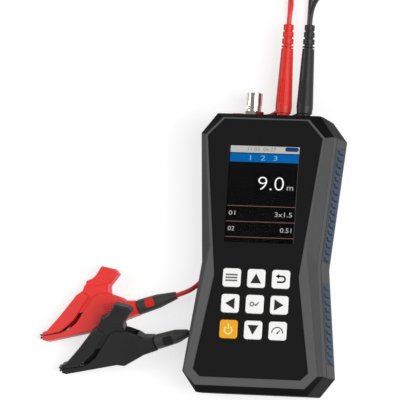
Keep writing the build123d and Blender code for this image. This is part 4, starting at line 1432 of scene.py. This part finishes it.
@dataclass
class CrocodileClip:
    """Insulated clip with metal jaws, a spring and the plug in its tail."""

    side: Side
    finishes: Finishes
    cheek: float = 5.0
    lever: float = 4.1
    rib_width: float = 0.5
    rib_rise: float = 0.3
    rib_round: float = 0.12
    sunk: float = 0.05
    slit_shade_low: float = -4.9
    slit_shade_depth: float = 0.3
    slit_shade_outline: tuple[tuple[float, float], ...] = (
        (12.6, 0.8), (18.9, 1.2), (25.1, 4.8), (34.3, 14.5), (31.0, 18.1), (22.0, 9.3),
        (17.6, 6.2), (12.6, 3.0))
    places: dict[Side, ClipPlace] = field(default_factory=lambda: {
        Side.RED: ClipPlace((-140.3, -54.1, 5.0), 11.0, 0.0),
        Side.BLACK: ClipPlace((-126.9, -72.0, 5.12), 9.6, 27.0)})

    def ribs(self, name: str, spots: list[tuple[float, float]], length: float, turn: float,
             level: float, body: str) -> None:
        """Make a row of fine raised ribs on a flat of the clip.

        Args:
            name: the piece's name.
            spots: middle of each rib in the clip's frame.
            length: length of a rib.
            turn: direction of the ribs in degrees.
            level: distance of the flat from the clip's middle plane.
            body: the body that they move with.
        """
        mark = FlatMark(level - self.sunk)
        for spot in spots:
            mark.bar(spot, length, self.rib_width, turn)
        raised(mark.mesh, list(mark.mesh.faces), self.rib_rise)
        tops = [edge for edge in mark.mesh.edges
                if all(vert.co.z > level for vert in edge.verts)]
        bmesh.ops.bevel(mark.mesh, geom=tops, offset=self.rib_round, segments=2, profile=0.5,
                        material=-1, affect="EDGES")
        bmesh.ops.transform(mark.mesh, matrix=self.places[self.side].matrix(),
                            verts=mark.mesh.verts)
        finish_piece(name, mark.mesh, self.finishes.clip[self.side],
                     body)

    def slit_shade(self) -> None:
        """Make a dark sheet behind the slit between body and lever, painted shade in the slit."""
        mesh = bmesh.new()
        outline = [mesh.verts.new((u, v, self.slit_shade_low)) for u, v in self.slit_shade_outline]
        face = mesh.faces.new(outline)
        raised(mesh, [face], self.slit_shade_depth)
        bmesh.ops.transform(mesh, matrix=self.places[self.side].matrix(), verts=mesh.verts)
        # Painted shade: the sheet darkens the slit, in the clip plug's dark grey.
        finish_piece(f"{self.side.value}_clip_slit_shade", mesh, self.finishes.plug_grey)

    def build(self) -> None:
        """Dress the clip."""
        side = self.side.value
        clip = self.finishes.clip[self.side]
        dress(f"{side}_clip_body", clip)
        dress(f"{side}_clip_lever", clip)
        for part in ("lower_jaw", "upper_jaw"):
            dress(f"{side}_clip_{part}", self.finishes.jaw_steel)
        for part in ("pin", "spring"):
            dress(f"{side}_clip_{part}", self.finishes.steel)
        dress(f"{side}_clip_plug", self.finishes.plug_grey)
        dress(f"{side}_clip_plug_window", self.finishes.shell[self.side])
        # Dark sheet in the slit: painted shade.
        self.slit_shade()
        cheek_rows = [(46.0, 5.5 + 1.5 * row) for row in range(7)]
        self.ribs(f"{side}_cheek_ribs", cheek_rows, 9.5, 0.0, self.cheek, CASE_BODY)
        lever_rows = [(42.6 + 1.7 * row, 34.2 - 0.9 * row) for row in range(4)]
        self.ribs(f"{side}_lever_ribs", lever_rows, 4.6, 55.0, self.lever,
                  f"{side}_clip_lever")


RED_PATH = LeadPath(
    side=Side.RED,
    start=[(4.2, 137.6, 14), (4.2, 142.4, 14), (4.9, 148.8, 13), (3.4, 154.6, 10.5),
           (-1.8, 157.7, 7.9), (-6.9, 158.5, 6.0), (-11.1, 158.2, 4.9)],
    coil_centre=(-20.54, 178.0), entry=-75.0, leave=0.0, tie_angle=143.0,
    run=[(-0.1, 170.2, 1.7), (0.3, 141, 1.45), (-0.5, 112, 1.45), (-0.2, 97.5, 1.8),
         (-0.4, 89.3, 3.2), (-6, 83.6, 4.45), (-16.5, 83.2, 4.45), (-29.6, 84, 4.45),
         (-37.8, 82.4, 3.4), (-45.6, 74.2, 1.45), (-46.6, 63.5, 1.45), (-44.8, 43, 1.45),
         (-43.3, 21, 1.45), (-40.7, 2.5, 1.45), (-41.2, -7.4, 1.45), (-43.9, -15.4, 2.2),
         (-49, -20.4, 4.0), (-54.1, -23.0, 5.0), (-58.25, -24.45, 5.0)])
BLACK_PATH = LeadPath(
    side=Side.BLACK,
    start=[(17.3, 137.6, 14), (17.3, 142.2, 14), (17.8, 148.8, 12.6), (19.6, 155.2, 8.8),
           (24.1, 158.2, 5.3)],
    coil_centre=(33.44, 178.0), entry=-105.0, leave=180.0, tie_angle=37.0,
    run=[(13, 170.2, 1.7), (12.6, 141, 1.45), (13.3, 112, 1.45), (12.9, 97, 1.45),
         (12.9, 89, 1.45), (7.2, 83.2, 1.45), (-8, 82.9, 1.45), (-22, 83.1, 1.45),
         (-31, 83.4, 1.45), (-35.6, 80.2, 1.45), (-42, 72.2, 1.45), (-42.8, 64, 1.45),
         (-40.8, 43, 1.45), (-39.4, 21, 1.45), (-37, 4, 1.45), (-37.6, -8, 1.45),
         (-38.9, -19.5, 2.2), (-40.7, -31, 5.4), (-42.7, -40.6, 9.3), (-43.04, -45.54, 11.29),
         (-47.24, -46.82, 11.0)])


def main() -> None:
    """Build the scene piece by piece."""
    logging.basicConfig(level=logging.INFO, format="%(message)s")
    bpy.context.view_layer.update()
    Studio().build()
    finishes = Finishes()
    for path in (RED_PATH, BLACK_PATH):
        TestLead(path, finishes).build()
    MeterCase(finishes).build()
    SideGrips(finishes).build()
    FacePlate(finishes).build()
    Display(finishes).build()
    Keypad(finishes).build()
    TopEnd(finishes).build()
    for side in Side:
        FrontPlug(side, finishes).build()
        CrocodileClip(side, finishes).build()


if __name__ == "__main__":
    main()
